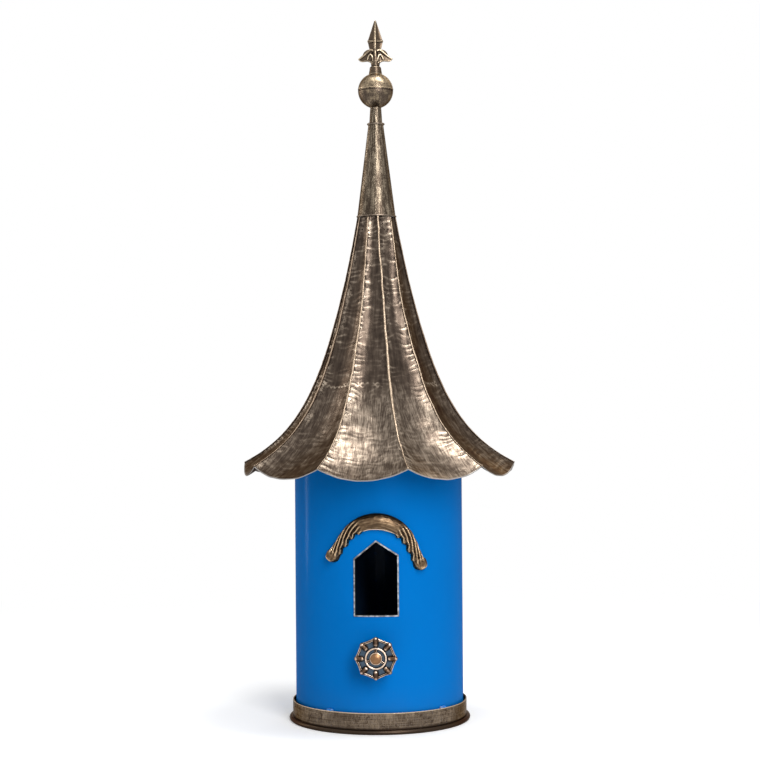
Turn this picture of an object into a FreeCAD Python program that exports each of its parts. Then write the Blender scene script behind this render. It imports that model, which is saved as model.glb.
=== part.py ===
import FreeCAD, Part
import math
import os
import Sketcher
from FreeCAD import Placement, Rotation, Vector

# Driving sizes: alias, value in millimetres or degrees, meaning
SIZES = [
    ("drum_radius", 100.0, "outside radius of the painted drum"),
    ("drum_sheet", 1.2, "drum sheet thickness"),
    ("lap_azimuth", 181.0, "where the drum's sheet overlaps itself, from the front"),
    ("lap_angle", 7.0, "angle over which the drum's sheet is double"),
    ("floor_sheet", 1.1, "floor sheet thickness"),
    ("floor_height", 4.1, "top of the floor panel above the ground"),
    ("floor_play", 1.2, "gap between the drum and the step pressed in the floor"),
    ("foot_reach", 8.3, "how far the rolled foot stands out past the drum"),
    ("foot_roll", 2.7, "outside radius of the roll's section"),
    ("seam_play", 0.1, "play between the sheets of the rolled foot"),
    ("band_gap", 3.0, "gap between the drum and the band"),
    ("band_sheet", 1.0, "band sheet thickness"),
    ("band_top", 24.5, "top edge of the band above the ground"),
    ("tack_radius", 2.2, "radius of a weld tack's bead"),
    ("tack_angle", 1.6, "angle that a tack covers each side of its middle"),
    ("tack_play", 0.05, "play that keeps a tack clear of the sheets it joins"),
    ("door_width", 51.8, "width of the entrance's frame"),
    ("door_sill", 134.3, "underside of the entrance's frame above the ground"),
    ("door_left", 66.3, "bend in the frame's left side above its sill"),
    ("door_right", 70.3, "bend in the frame's right side above its sill"),
    ("door_height", 87.4, "top of the entrance's frame above its sill"),
    ("trim_sheet", 1.5, "thickness of the frame's strip"),
    ("trim_proud", 1.5, "how far the frame stands out of the drum"),
    ("trim_depth", 8.0, "how far the frame reaches into the drum"),
    ("trim_play", 0.1, "play between the frame and its hole"),
    ("arch_rise", 21.3, "middle of the arch's crown above the entrance's frame"),
    ("arch_shift", 4.5, "arch's crown to the right of the entrance's middle"),
    ("arch_radius", 44.5, "radius of the arch's middle line"),
    ("arch_angle", 60.0, "angle of the round stretch each side of the crown"),
    ("arch_leg", 33.5, "straight stretch at each end of the arch"),
    ("arch_lean", 5.4, "how far the arch hangs down on the right"),
    ("arch_width", 19.4, "width of the arch at its crown"),
    ("arch_neck", 12.6, "width of the arch beside its scrolls"),
    ("arch_thick", 9.0, "how far the arch stands out of the drum"),
    ("arch_play", 0.15, "play between the arch and the drum"),
    ("scroll_radius", 8.3, "radius of the scroll at each end of the arch"),
    ("leaf_pitch", 12.0, "distance between two leaf tips along the arch"),
    ("leaf_lobe", 1.5, "how far a leaf tip stands out of the arch's inner edge"),
    ("leaf_start", 19.0, "distance from the crown at which the leaves start"),
    ("leaf_depth", 2.6, "depth of the grooves between the leaves"),
    ("perch_drop", 44.1, "perch bolt below the entrance's sill"),
    ("perch_gap", 20.0, "gap between the drum and the back of the handwheel"),
    ("wheel_radius", 24.3, "radius of the handwheel at its corners"),
    ("wheel_hollow", 0.7, "how far each side of the handwheel curves in"),
    ("rim_width", 2.4, "width of the handwheel's raised rim"),
    ("rim_thick", 6.0, "thickness of the handwheel's rim"),
    ("web_thick", 2.4, "thickness of the handwheel's web"),
    ("web_back", 1.6, "depth of the hollow at the web's back"),
    ("ring_radius", 12.4, "outside radius of the handwheel's inner ring"),
    ("ring_width", 1.8, "width of the inner ring"),
    ("ring_thick", 6.6, "thickness of the inner ring"),
    ("hub_radius", 7.0, "radius of the handwheel's hub"),
    ("hub_thick", 7.2, "thickness of the hub"),
    ("arm_width", 2.6, "width of the three arms between hub and ring"),
    ("arm_thick", 6.0, "thickness of the three arms"),
    ("knuckle_radius", 2.8, "radius of a knuckle's rounded section"),
    ("knuckle_lift", 4.5, "middle of a knuckle above the handwheel's back"),
    ("bolt_radius", 3.0, "radius of the perch bolt's shank"),
    ("bolt_play", 0.3, "play between the bolt and its holes"),
    ("bolt_head", 6.1, "radius of the bolt's round head"),
    ("head_thick", 2.4, "height of the bolt's round head"),
    ("head_edge", 0.9, "height of the upright edge of the bolt's head"),
    ("bolt_spare", 3.0, "bolt that stands out of its nut"),
    ("spacer_radius", 6.0, "outside radius of the perch's spacer tube"),
    ("stack_play", 0.05, "play between the pieces clamped on the bolt"),
    ("washer_radius", 6.0, "outside radius of the washer"),
    ("washer_thick", 1.6, "thickness of the washer"),
    ("nut_flats", 10.0, "width of the nut across its flats"),
    ("nut_thick", 5.0, "thickness of the nut"),
    ("nut_play", 0.05, "play between the nut's bore and the bolt"),
    ("petals", 10, "number of roof petals"),
    ("petal_azimuth", -5.6, "middle of the first petal, from the front"),
    ("petal_sheet", 0.9, "petal sheet thickness"),
    ("roof_top_radius", 23.6, "radius of the roof at its top, over the seams"),
    ("roof_height", 292.8, "top of the roof above its rim at the seams"),
    ("steep_radius", 41.0, "radius of the roof curve's first control point"),
    ("steep_height", 193.8, "the roof curve's first control point above the rim"),
    ("flank_radius", 70.0, "radius of the roof curve's second control point"),
    ("flank_height", 89.8, "the roof curve's second control point above the rim"),
    ("flare_radius", 89.0, "radius of the roof curve's third control point"),
    ("flare_height", 38.8, "the roof curve's third control point above the rim"),
    ("rim_radius", 164.0, "radius of the roof's rim at the seams"),
    ("rim_height", 307.2, "roof's rim at the seams above the ground"),
    ("trough_ratio", 0.0925, "depth of a petal's hollow for each millimetre of its width"),
    ("scallop_tilt", 46.0, "how far the rim's cut turns away from square"),
    ("seam_height", 1.4, "height of the standing seam"),
    ("seam_lip", 0.9, "thickness of one petal's lip in the standing seam"),
    ("petal_play", 0.05, "play between two petals"),
    ("roof_play", 0.2, "play between the roof and the drum's top edge"),
    ("spire_wire", 0.95, "radius of the wire ring under the spire"),
    ("spire_ring_radius", 23.1, "radius of that ring's middle line"),
    ("spire_foot", 22.9, "outside radius of the spire's foot"),
    ("spire_top_radius", 9.1, "outside radius of the spire's top"),
    ("spire_length", 108.6, "height of the spire"),
    ("spire_sheet", 1.0, "spire sheet thickness"),
    ("ring_play", 0.05, "play between a wire ring and the sheets beside it"),
    ("neck_wire", 1.25, "radius of the small ring's wire"),
    ("neck_ring_radius", 9.35, "radius of the small ring's middle line"),
    ("neck_radius", 7.9, "outside radius of the neck at the small ring"),
    ("neck_top_radius", 6.6, "outside radius of the neck under the ball"),
    ("neck_sheet", 0.9, "neck sheet thickness"),
    ("neck_tuck", 6.0, "how far the neck reaches down into the spire"),
    ("neck_length", 19.0, "underside of the ball above the small ring's middle"),
    ("ball_radius", 21.1, "outside radius of the ball"),
    ("ball_sheet", 1.0, "ball sheet thickness"),
    ("ball_seam", 1.8, "seam of the ball above its middle"),
    ("ball_lap", 4.0, "how far the upper half reaches into the lower"),
    ("ball_play", 0.1, "play at the ball's seam and seats"),
    ("collar_foot", 8.3, "radius of the finial's collar on the ball"),
    ("collar_top", 6.9, "radius of the collar under its shoulder"),
    ("collar_height", 5.9, "shoulder of the collar above the ball"),
    ("collar_hollow", 0.2, "how far the collar's side curves in"),
    ("collar_bevel", 0.6, "bevel above the collar's shoulder"),
    ("collar_lip", 2.2, "foot of the stem above the collar's shoulder"),
    ("stem_length", 5.8, "height of the stem under the leaves"),
    ("stem_radius", 4.9, "radius of the stem at its foot"),
    ("stem_flare", 5.8, "radius of the stem under the leaves"),
    ("leaf_height", 14.0, "height of the finial's leaves"),
    ("leaf_reach", 20.9, "reach of each leaf from the middle"),
    ("leaf_thick", 9.6, "thickness of the leaves at the middle"),
    ("leaf_edge", 2.2, "thickness of the leaves at their tips"),
    ("rib_radius", 1.25, "radius of the ribs on the leaves"),
    ("spear_foot", 6.9, "half width of the spear's foot"),
    ("spear_radius", 9.7, "half width of the spear where it is widest"),
    ("spear_wide", 10.4, "widest place of the spear above the leaves"),
    ("spear_height", 35.4, "tip of the spear above the leaves"),
    ("spear_point", 1.1, "half width of the spear's blunt tip"),
    ("spear_flatness", 0.78, "depth of the spear for each millimetre of its width"),
    ("spear_band", 2.0, "height of the band round the spear"),
]

# Directions from the front of the weld tacks, and round the handwheel of its arms
TACK_AZIMUTHS = (-32.6, 47.9, 137.9, 227.9)
ARM_AZIMUTHS = (90.0, 200.0, 330.0)

# The arch is drawn by cross cuts, each a row of points over its front and a few along its back.
# It is blunt by a little at its ends, low there by a share of its height, and its dome is fuller
# than round for a power below 1. A leaf finger drifts by pitches from edge to middle.
ARCH_CUTS = 60
ARCH_POINTS = 24
ARCH_BACK = 4
ARCH_BLUNT = 0.3
ARCH_LOW = 0.35
ARCH_DOME = 0.7
LEAF_DRIFT = 1.75

# The finial's leaves, in shares of their reach and of their height, and in plan of their
# thickness. The spear: how far its flutes and its band stay out, as shares of its half width,
# and its half widths below and above the band.
LEAF_OVER = ((0.0, 0.893), (0.29, 1.0), (0.59, 0.8), (0.77, 0.45), (1.0, 0.229))
LEAF_BELOW = ((1.0, 0.229), (0.72, -0.007), (0.43, 0.021), (0.22, -0.114), (0.0, -0.143))
LEAF_PLAN = ((0.0, 1.0), (0.4, 0.86))
OUTER_RIB = ((0.019, 0.7), (0.364, 0.957), (0.727, 0.486))
INNER_RIB = ((0.124, 0.186), (0.344, 0.514), (0.622, 0.271))
RIB_CUTS = 8
RIB_SIDES = 8
RIB_TAPER = 0.6
SPEAR_FLUTE = 0.34
SPEAR_BRIDGE = 0.44
SPEAR_BELOW = 0.94
SPEAR_ABOVE = 0.92

WHEEL_SIDES = 8
NUT_SIDES = 6
UP = Vector(0, 0, 1)
FRONT = Vector(0, -1, 0)

doc = FreeCAD.newDocument("birdhouse")
sheet = doc.addObject("Spreadsheet::Sheet", "Sizes")
for row, (alias, value, meaning) in enumerate(SIZES, 1):
    sheet.set(f"A{row}", meaning)
    sheet.set(f"B{row}", str(value))
    sheet.setAlias(f"B{row}", alias)
doc.recompute()


class Size:
    """A length that carries both its value and the sheet expression it comes from."""

    def __init__(self, value, text):
        self.value = float(value)
        self.text = text

    @staticmethod
    def of(other):
        return other if isinstance(other, Size) else Size(other, repr(float(other)))

    def __add__(self, other):
        other = Size.of(other)
        return Size(self.value + other.value, f"({self.text} + {other.text})")

    def __sub__(self, other):
        other = Size.of(other)
        return Size(self.value - other.value, f"({self.text} - {other.text})")

    def __mul__(self, other):
        other = Size.of(other)
        return Size(self.value * other.value, f"({self.text} * {other.text})")

    def __truediv__(self, other):
        other = Size.of(other)
        return Size(self.value / other.value, f"({self.text} / {other.text})")

    def __neg__(self):
        return Size(-self.value, f"(0 - {self.text})")

    def root(self):
        return Size(math.sqrt(self.value), f"sqrt({self.text})")

    __radd__ = __add__
    __rmul__ = __mul__


def cell(alias):
    """The size that one cell of the sheet holds."""
    return Size(sheet.get(alias), f"Sizes.{alias}")


def mm(alias):
    """The plain value of one cell, for shapes made without sketches."""
    return float(sheet.get(alias))


def bind(owner, path, size):
    """Tie a property to the sheet."""
    owner.setExpression(path, Size.of(size).text)


NOTHING = Size(0.0, "0")
parts = []


def keep(piece, label):
    """Name a finished piece and put it on the list of files to write."""
    piece.Label = label
    parts.append(piece)
    return piece


# Sketch helpers

def new_body(label):
    body = doc.addObject("PartDesign::Body", label + "_body")
    return keep(body, label)


def plane_of(body, role):
    """One of the body's own planes or axes."""
    return next(f for f in body.Origin.OriginFeatures if f.Role == role)


def new_sketch(body, name, role, offset=None):
    """A sketch on one of the body's own planes, lifted off it by a size where one is given."""
    sketch = body.newObject("Sketcher::SketchObject", name)
    sketch.AttachmentSupport = [(plane_of(body, role), "")]
    sketch.MapMode = "FlatFace"
    if offset is not None:
        bind(sketch, "AttachmentOffset.Base.z", offset)
    return sketch


def hold(sketch, kind, geometry, end, size):
    """Hold one end of an edge at a signed distance from the sketch's origin."""
    index = sketch.addConstraint(Sketcher.Constraint(kind, -1, 1, geometry, end, size.value))
    bind(sketch, f"Constraints[{index}]", size)


def outline(sketch, corners, arcs=None):
    """Draw a closed outline. arcs gives, for the side after a corner, its radius and the way it
    bulges: 1 to the right of the way round, -1 to the left."""
    arcs = arcs or {}
    count = len(corners)
    ends = []
    for i in range(count):
        a = Vector(corners[i][0].value, corners[i][1].value, 0)
        b = Vector(corners[(i + 1) % count][0].value, corners[(i + 1) % count][1].value, 0)
        if i not in arcs:
            ends.append((sketch.addGeometry(Part.LineSegment(a, b)), 1, 2))
            continue
        radius, bulge = arcs[i]
        chord = b - a
        away = Vector(-chord.y, chord.x, 0).normalize() * bulge
        reach = math.sqrt(max(radius.value ** 2 - (chord.Length / 2) ** 2, 0.0))
        middle = (a + b) * 0.5 + away * reach
        first, last = (a, b) if bulge > 0 else (b, a)
        start = math.atan2(first.y - middle.y, first.x - middle.x)
        stop = math.atan2(last.y - middle.y, last.x - middle.x)
        circle = Part.Circle(middle, UP, radius.value)
        index = sketch.addGeometry(Part.ArcOfCircle(circle, start, stop))
        ends.append((index, 1, 2) if bulge > 0 else (index, 2, 1))
        rule = sketch.addConstraint(Sketcher.Constraint("Radius", index, radius.value))
        bind(sketch, f"Constraints[{rule}]", radius)
    for i in range(count):
        geometry, start, stop = ends[i]
        after, after_start, after_stop = ends[(i + 1) % count]
        sketch.addConstraint(Sketcher.Constraint("Coincident", geometry, stop, after, after_start))
        hold(sketch, "DistanceX", geometry, start, corners[i][0])
        hold(sketch, "DistanceY", geometry, start, corners[i][1])


def circle(sketch, radius, x=NOTHING, y=NOTHING):
    index = sketch.addGeometry(Part.Circle(Vector(x.value, y.value, 0), UP, radius.value))
    rule = sketch.addConstraint(Sketcher.Constraint("Radius", index, radius.value))
    bind(sketch, f"Constraints[{rule}]", radius)
    hold(sketch, "DistanceX", index, 3, x)
    hold(sketch, "DistanceY", index, 3, y)


def revolve(body, name, corners, arcs=None, first=None, angle=None):
    """Turn an outline of radii and heights round the vertical axis, once round or over an angle.
    first is the direction where a part turn starts, counted from the X axis."""
    sketch = new_sketch(body, name + "_outline", "XZ_Plane")
    outline(sketch, corners, arcs)
    turn = body.newObject("PartDesign::Revolution", name)
    turn.Profile = sketch
    turn.ReferenceAxis = (sketch, ["V_Axis"])
    turn.Angle = 360.0
    if angle is not None:
        upright = Vector(0, 1, 0)
        sketch.AttachmentOffset = Placement(Vector(0, 0, 0), Rotation(upright, first.value))
        bind(sketch, "AttachmentOffset.Rotation.Angle", first)
        bind(turn, "Angle", angle)


def pad(body, name, draw, length, offset=None):
    """Raise what draw puts in a level sketch by a length."""
    sketch = new_sketch(body, name + "_outline", "XY_Plane", offset)
    draw(sketch)
    feature = body.newObject("PartDesign::Pad", name)
    feature.Profile = sketch
    bind(feature, "Length", length)


def cut_through(body, name, draw, role, length):
    """Cut what draw puts in a sketch out of the body, from the sketch on towards the front or up."""
    sketch = new_sketch(body, name + "_outline", role)
    draw(sketch)
    pocket = body.newObject("PartDesign::Pocket", name)
    pocket.Profile = sketch
    pocket.Reversed = True
    bind(pocket, "Length", length)


def polygon(radius, sides):
    """The corners of a regular polygon, the first on the X axis."""
    turns = [2 * math.pi * k / sides for k in range(sides)]
    return [(radius * math.cos(a), radius * math.sin(a)) for a in turns]


# Smooth solids drawn by cross cuts

def even_knots(count, degree):
    """Knots and their counts for a curve that starts and ends on its control points."""
    spans = count - degree
    return [float(k) for k in range(spans + 1)], [degree + 1] + [1] * (spans - 1) + [degree + 1]


def skin(cuts, places):
    """A solid through a row of flat closed cuts. Each cut is a loop of spans that meet end to end,
    each span a list of control points, and places gives where along the row each cut lies."""
    faces = []
    ends = ([], [])
    for number in range(len(cuts[0])):
        columns = []
        for k in range(len(cuts[0][number])):
            curve = Part.BSplineCurve()
            curve.interpolate(Points=[cut[number][k] for cut in cuts], Parameters=places)
            columns.append(curve.getPoles())
        degree = min(len(columns) - 1, 3)
        knots, counts = even_knots(len(columns), degree)
        grid = [list(row) for row in zip(*columns)]
        surface = Part.BSplineSurface()
        surface.buildFromPolesMultsKnots(grid, curve.getMultiplicities(), counts, curve.getKnots(),
                                         knots, False, False, curve.Degree, degree)
        faces.append(surface.toShape())
        ends[0].append(surface.uIso(places[0]).toShape())
        ends[1].append(surface.uIso(places[-1]).toShape())
    faces += [Part.Face(Part.Wire(Part.__sortEdges__(edges))) for edges in ends]
    shell = Part.Shell(faces)
    shell.sewShape()
    solid = Part.Solid(shell)
    if solid.Volume < 0:
        solid.reverse()
    return solid


def facets(rings):
    """A solid of flat facets through a row of closed rings of points, its ends closed flat."""
    triangles = []
    count = len(rings[0])
    for near, far in zip(rings, rings[1:]):
        for k in range(count):
            after = (k + 1) % count
            triangles.append((near[k], near[after], far[after]))
            triangles.append((near[k], far[after], far[k]))
    faces = [Part.Face(Part.makePolygon([a, b, c, a])) for a, b, c in triangles]
    faces += [Part.Face(Part.makePolygon(ring + ring[:1])) for ring in (rings[0], rings[-1])]
    shell = Part.Shell(faces)
    shell.sewShape()
    solid = Part.Solid(shell)
    if solid.Volume < 0:
        solid.reverse()
    return solid


# Floor with its rolled foot

drum_radius = cell("drum_radius")
floor_top = cell("floor_height")
floor_sheet = cell("floor_sheet")
roll = cell("foot_roll")
roll_middle = drum_radius + cell("foot_reach") - roll
roll_inside = roll - floor_sheet
band_inside = drum_radius + cell("band_gap")
band_outside = band_inside + cell("band_sheet")
step_inside = drum_radius + cell("floor_play")
step_outside = step_inside + floor_sheet
lip_end = band_outside + cell("seam_play")

floor_plate = new_body("floor_plate")
revolve(floor_plate, "floor_turn", [
    (NOTHING, floor_top - floor_sheet),
    (step_inside, floor_top - floor_sheet),
    (step_inside, NOTHING),
    (roll_middle, NOTHING),
    (roll_middle + roll, roll),
    (roll_middle, roll * 2.0),
    (lip_end, roll * 2.0),
    (lip_end, roll * 2.0 - floor_sheet),
    (roll_middle, roll * 2.0 - floor_sheet),
    (roll_middle + roll_inside, roll),
    (roll_middle, floor_sheet),
    (step_outside, floor_sheet),
    (step_outside, floor_top),
    (NOTHING, floor_top),
], {3: (roll, 1), 4: (roll, 1), 8: (roll_inside, -1), 9: (roll_inside, -1)})

# Band round the foot

flange_outside = roll_inside - cell("seam_play")
flange_inside = flange_outside - cell("band_sheet")
base_band = new_body("base_band")
revolve(base_band, "band_turn", [
    (band_inside, roll - flange_outside),
    (roll_middle, roll - flange_outside),
    (roll_middle + flange_outside, roll),
    (roll_middle + flange_inside, roll),
    (roll_middle, roll - flange_inside),
    (band_outside, roll - flange_inside),
    (band_outside, cell("band_top")),
    (band_inside, cell("band_top")),
], {1: (flange_outside, 1), 3: (flange_inside, -1)})


# Roof curve and petal sections

HALF_PETAL = math.pi / mm("petals")
ROOF_CURVE = Part.BezierCurve()
ROOF_CURVE.setPoles([
    Vector(mm("roof_top_radius"), 0, mm("rim_height") + mm("roof_height")),
    Vector(mm("steep_radius"), 0, mm("rim_height") + mm("steep_height")),
    Vector(mm("flank_radius"), 0, mm("rim_height") + mm("flank_height")),
    Vector(mm("flare_radius"), 0, mm("rim_height") + mm("flare_height")),
    Vector(mm("rim_radius"), 0, mm("rim_height")),
])
SECTION_PLACES = [0.0, 0.09, 0.18, 0.27, 0.36, 0.45, 0.54, 0.63, 0.71, 0.78, 0.84, 0.89, 0.93, 0.965, 1.0]


class PetalSection:
    """One cross cut through a petal, at a place between the roof's top, 0, and its rim, 1.
    Across is measured from the petal's middle, and out is measured away from the roof."""

    def __init__(self, place):
        crest = ROOF_CURVE.value(place)
        slope = ROOF_CURVE.tangent(place)[0].normalize()
        outward = Vector(-slope.z, 0, slope.x)
        base = crest - outward * mm("seam_height")
        tilt = math.radians(mm("scallop_tilt")) * place ** 6
        self.out_r = outward.x * math.cos(tilt) - outward.z * math.sin(tilt)
        self.out_z = outward.z * math.cos(tilt) + outward.x * math.sin(tilt)
        self.radius = base.x * math.cos(HALF_PETAL)
        self.height = base.z
        self.half = base.x * math.sin(HALF_PETAL)
        self.depth = mm("trough_ratio") * 2 * self.half / math.cos(tilt)
        self.bend = (self.half ** 2 + self.depth ** 2) / (2 * self.depth)

    def point(self, across, out):
        """A point in the part's frame, on the petal that faces the front."""
        return Vector(across, -(self.radius + out * self.out_r), self.height + out * self.out_z)

    def edge(self, out):
        """Distance from the middle to the plane between two petals, less the play."""
        play = mm("petal_play") / 2 / math.cos(HALF_PETAL)
        return (self.radius + out * self.out_r) * math.tan(HALF_PETAL) - play

    def trough(self, across, under=0.0):
        """Out of the hollow's surface at a distance from the middle, or of its underside."""
        return self.bend - self.depth - math.sqrt((self.bend + under) ** 2 - across ** 2)

    def spans(self):
        """The section's outline: hollow underside, seam edge, lip, hollow face, lip and seam edge."""
        thick = mm("petal_sheet")
        lip = mm("seam_lip")
        top = mm("seam_height")
        foot = self.trough(self.edge(0.0), thick)
        foot = self.trough(self.edge(foot), thick)
        root = self.edge(0.0) - lip
        foot_end = (self.edge(foot), foot)
        seam_end = (self.edge(top), top)
        lip_end = (self.edge(top) - lip, top)
        root_end = (root, self.trough(root))
        under = 2 * self.trough(0.0, thick) - foot
        face = 2 * self.trough(0.0) - root_end[1]
        loop = [
            [(-foot_end[0], foot), (0.0, under), foot_end],
            [foot_end, seam_end],
            [seam_end, lip_end],
            [lip_end, root_end],
            [root_end, (0.0, face), (-root, root_end[1])],
            [(-root, root_end[1]), (-lip_end[0], top)],
            [(-lip_end[0], top), (-seam_end[0], top)],
            [(-seam_end[0], top), (-foot_end[0], foot)],
        ]
        return [[self.point(across, out) for across, out in span] for span in loop]


def under_petal(radius):
    """Height of a petal's underside, in its middle, at a distance from the roof's axis."""
    low, high = 0.0, 1.0
    for _ in range(50):
        place = (low + high) / 2
        section = PetalSection(place)
        reach = section.radius + section.trough(0.0, mm("petal_sheet")) * section.out_r
        low, high = (place, high) if reach < radius else (low, place)
    return section.height + section.trough(0.0, mm("petal_sheet")) * section.out_z


def petal_shape():
    return skin([PetalSection(place).spans() for place in SECTION_PLACES], SECTION_PLACES)


# Drum, cut for the entrance and the perch bolt

top_row = len(SIZES) + 1
sheet.set(f"A{top_row}", "top edge of the drum, which the roof's hollows rest on")
sheet.set(f"B{top_row}", str(under_petal(mm("drum_radius")) - mm("roof_play")))
sheet.setAlias(f"B{top_row}", "drum_top")
doc.recompute()
drum_top = cell("drum_top")
drum_inside = drum_radius - cell("drum_sheet")


def door_corners(grow=0.0):
    """The entrance's outline, grown on every side by a size, from the sill's left end."""
    grow = Size.of(grow)
    half = cell("door_width") / 2
    sill = cell("door_sill")
    left_rise = mm("door_height") - mm("door_left")
    right_rise = mm("door_height") - mm("door_right")
    left_slope = math.atan2(left_rise, half.value)
    right_slope = math.atan2(right_rise, half.value)
    apex_left = grow / math.cos(left_slope)
    apex_right = grow / math.cos(right_slope)
    return [
        (-(half + grow), sill - grow),
        (half + grow, sill - grow),
        (half + grow, sill + cell("door_right") + apex_right - grow * math.tan(right_slope)),
        (NOTHING, sill + cell("door_height") + (apex_left + apex_right) / 2),
        (-(half + grow), sill + cell("door_left") + apex_left - grow * math.tan(left_slope)),
    ]


body_shell = new_body("body_shell")


def drum_ring(sketch):
    circle(sketch, drum_radius)
    circle(sketch, drum_inside)


pad(body_shell, "drum_wall", drum_ring, drum_top - floor_top, floor_top)

lap_inside = drum_inside - cell("drum_sheet")
lap_outside = drum_inside + cell("drum_sheet") / 2
revolve(body_shell, "lap", [
    (lap_inside, floor_top),
    (lap_outside, floor_top),
    (lap_outside, drum_top),
    (lap_inside, drum_top),
], first=cell("lap_azimuth") - 90.0 - cell("lap_angle") / 2, angle=cell("lap_angle"))

hole_radius = cell("bolt_radius") + cell("bolt_play")
perch_level = cell("door_sill") - cell("perch_drop")
past_drum = drum_radius + cell("drum_sheet")
cut_through(body_shell, "door", lambda s: outline(s, door_corners(cell("trim_play"))), "XZ_Plane", past_drum)
cut_through(body_shell, "bolt_hole", lambda s: circle(s, hole_radius, NOTHING, perch_level),
            "XZ_Plane", past_drum)


# Frame of the entrance: a strip bent to the outline, its edges following the drum

def prism(corners, depth):
    """A straight bar of a front-view outline, from the middle of the drum out past its front."""
    points = [Vector(x.value, 0, z.value) for x, z in corners]
    face = Part.Face(Part.makePolygon(points + points[:1]))
    return face.extrude(FRONT * depth)


def entrance_trim_shape():
    outside = mm("drum_radius") + mm("trim_proud")
    inside = mm("drum_radius") - mm("trim_depth")
    tall = mm("door_sill") + mm("door_height") + outside
    bar = prism(door_corners(), outside * 2).cut(prism(door_corners(-mm("trim_sheet")), outside * 2))
    sleeve = Part.makeCylinder(outside, tall).cut(Part.makeCylinder(inside, tall))
    return bar.common(sleeve).Solids[0]


# Weld tacks between the band and the drum

def tack_shape(azimuth):
    """A short bead in the gap, at the band's top edge."""
    between = mm("drum_radius") + mm("band_gap") / 2
    radius = mm("tack_radius")
    level = mm("band_top")
    half = mm("tack_angle")
    bead = Part.makeTorus(between, radius, Vector(0, 0, level), UP, -180, 180, 2 * half)
    for turned in (0.0, 2 * half):
        end = Rotation(UP, turned).multVec(Vector(between, 0, level))
        bead = bead.fuse(Part.makeSphere(radius, end))
    bead.rotate(Vector(0, 0, 0), UP, azimuth - 90.0 - half)
    play = mm("tack_play")
    drum = Part.makeCylinder(mm("drum_radius") + play, level * 2)
    band = Part.makeCylinder(band_outside.value + radius, level + play)
    band = band.cut(Part.makeCylinder(band_inside.value - play, level + play))
    return bead.cut(drum).cut(band).removeSplitter().Solids[0]


# Leaf arch over the entrance, drawn flat and laid round the drum

def smooth(low, high, value):
    """A soft step from 0 below low to 1 above high."""
    share = min(max((value - low) / (high - low), 0.0), 1.0)
    return share * share * (3 - 2 * share)


def arch_line(run):
    """Place and outward direction of the arch's middle line, run millimetres from the crown."""
    bend = math.radians(mm("arch_angle"))
    radius = mm("arch_radius")
    side = 1.0 if run >= 0 else -1.0
    turn = min(abs(run) / radius, bend)
    leg = max(abs(run) - bend * radius, 0.0)
    across = side * (radius * math.sin(turn) + leg * math.cos(turn))
    rise = radius * (math.cos(turn) - 1) - leg * math.sin(turn)
    lean = math.radians(-mm("arch_lean"))
    away = (side * math.sin(turn), math.cos(turn))
    place = (across * math.cos(lean) - rise * math.sin(lean),
             across * math.sin(lean) + rise * math.cos(lean))
    away = (away[0] * math.cos(lean) - away[1] * math.sin(lean),
            away[0] * math.sin(lean) + away[1] * math.cos(lean))
    return place, away


def leaf_wave(run, across):
    """1 on the back of a leaf finger and 0 in the groove beside it. Fingers drift to the inner edge."""
    fingers = LEAF_DRIFT * across + (abs(run) - mm("leaf_start")) / mm("leaf_pitch")
    return 0.5 + 0.5 * math.cos(2 * math.pi * fingers)


def arch_section(run, half_length):
    """One cross cut through the arch. Across runs from -1 at the inner edge to 1 at the outer."""
    knob = mm("scroll_radius")
    end = half_length - abs(run)
    grown = smooth(mm("leaf_start"), mm("leaf_start") + mm("leaf_pitch"), abs(run))
    leaf = grown * smooth(knob, 2 * knob, end)
    narrow = smooth(0.0, half_length - 2 * knob, abs(run))
    width = mm("arch_width") + (mm("arch_neck") - mm("arch_width")) * narrow
    swell = math.sqrt(max(knob ** 2 - (end - knob) ** 2, 0.0)) if end < 2 * knob else 0.0
    outer = max(width / 2, swell) if end > knob else max(swell, 2 * ARCH_BLUNT)
    inner = outer + mm("leaf_lobe") * leaf * 2 * (leaf_wave(run, -1.0) - ARCH_LOW)
    thick = mm("arch_thick") * (ARCH_LOW + (1 - ARCH_LOW) * min(outer / (mm("arch_neck") / 2), 1.0))
    place, away = arch_line(run)
    radius = mm("drum_radius") + mm("arch_play")
    turn = (place[0] + mm("arch_shift")) / radius
    outward = Vector(math.sin(turn), -math.cos(turn), 0)
    sideways = Vector(away[0] * math.cos(turn), away[0] * math.sin(turn), away[1])
    crown = mm("door_sill") + mm("door_height") + mm("arch_rise")
    middle = outward * radius + Vector(0, 0, crown + place[1])

    def point(reach, out):
        """A point of the cut; the drum falls away from it on both sides."""
        fall = (away[0] * reach) ** 2 / (2 * radius)
        return middle + sideways * reach + outward * (out - fall)

    front = []
    for k in range(ARCH_POINTS + 1):
        angle = math.pi * k / ARCH_POINTS
        across = -math.cos(angle)
        dome = math.sin(angle) ** ARCH_DOME
        groove = mm("leaf_depth") * leaf * (1 - leaf_wave(run, across)) * dome
        front.append(point(across * (inner if across < 0 else outer), thick * dome - groove))
    back = [point(outer + (-inner - outer) * k / ARCH_BACK, 0.0) for k in range(1, ARCH_BACK)]
    return front + back


def door_arch_shape():
    half_length = math.radians(mm("arch_angle")) * mm("arch_radius") + mm("arch_leg")
    stop = half_length - ARCH_BLUNT
    runs = [stop * (2 * k / ARCH_CUTS - 1) for k in range(ARCH_CUTS + 1)]
    return facets([arch_section(run, half_length) for run in runs])


# Perch: handwheel, bolt, spacer, washer and nut, each drawn upright and turned to face the front

wheel_back = drum_radius + cell("perch_gap")
hub_top = cell("hub_thick")


def face_front(piece, distance):
    """Turn a piece's up to the front and stand its foot off the drum's axis, at the perch's height."""
    piece.Placement = Placement(Vector(0, 0, 0), Rotation(Vector(1, 0, 0), 90))
    bind(piece, "Placement.Base.y", -distance)
    bind(piece, "Placement.Base.z", perch_level)


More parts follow.
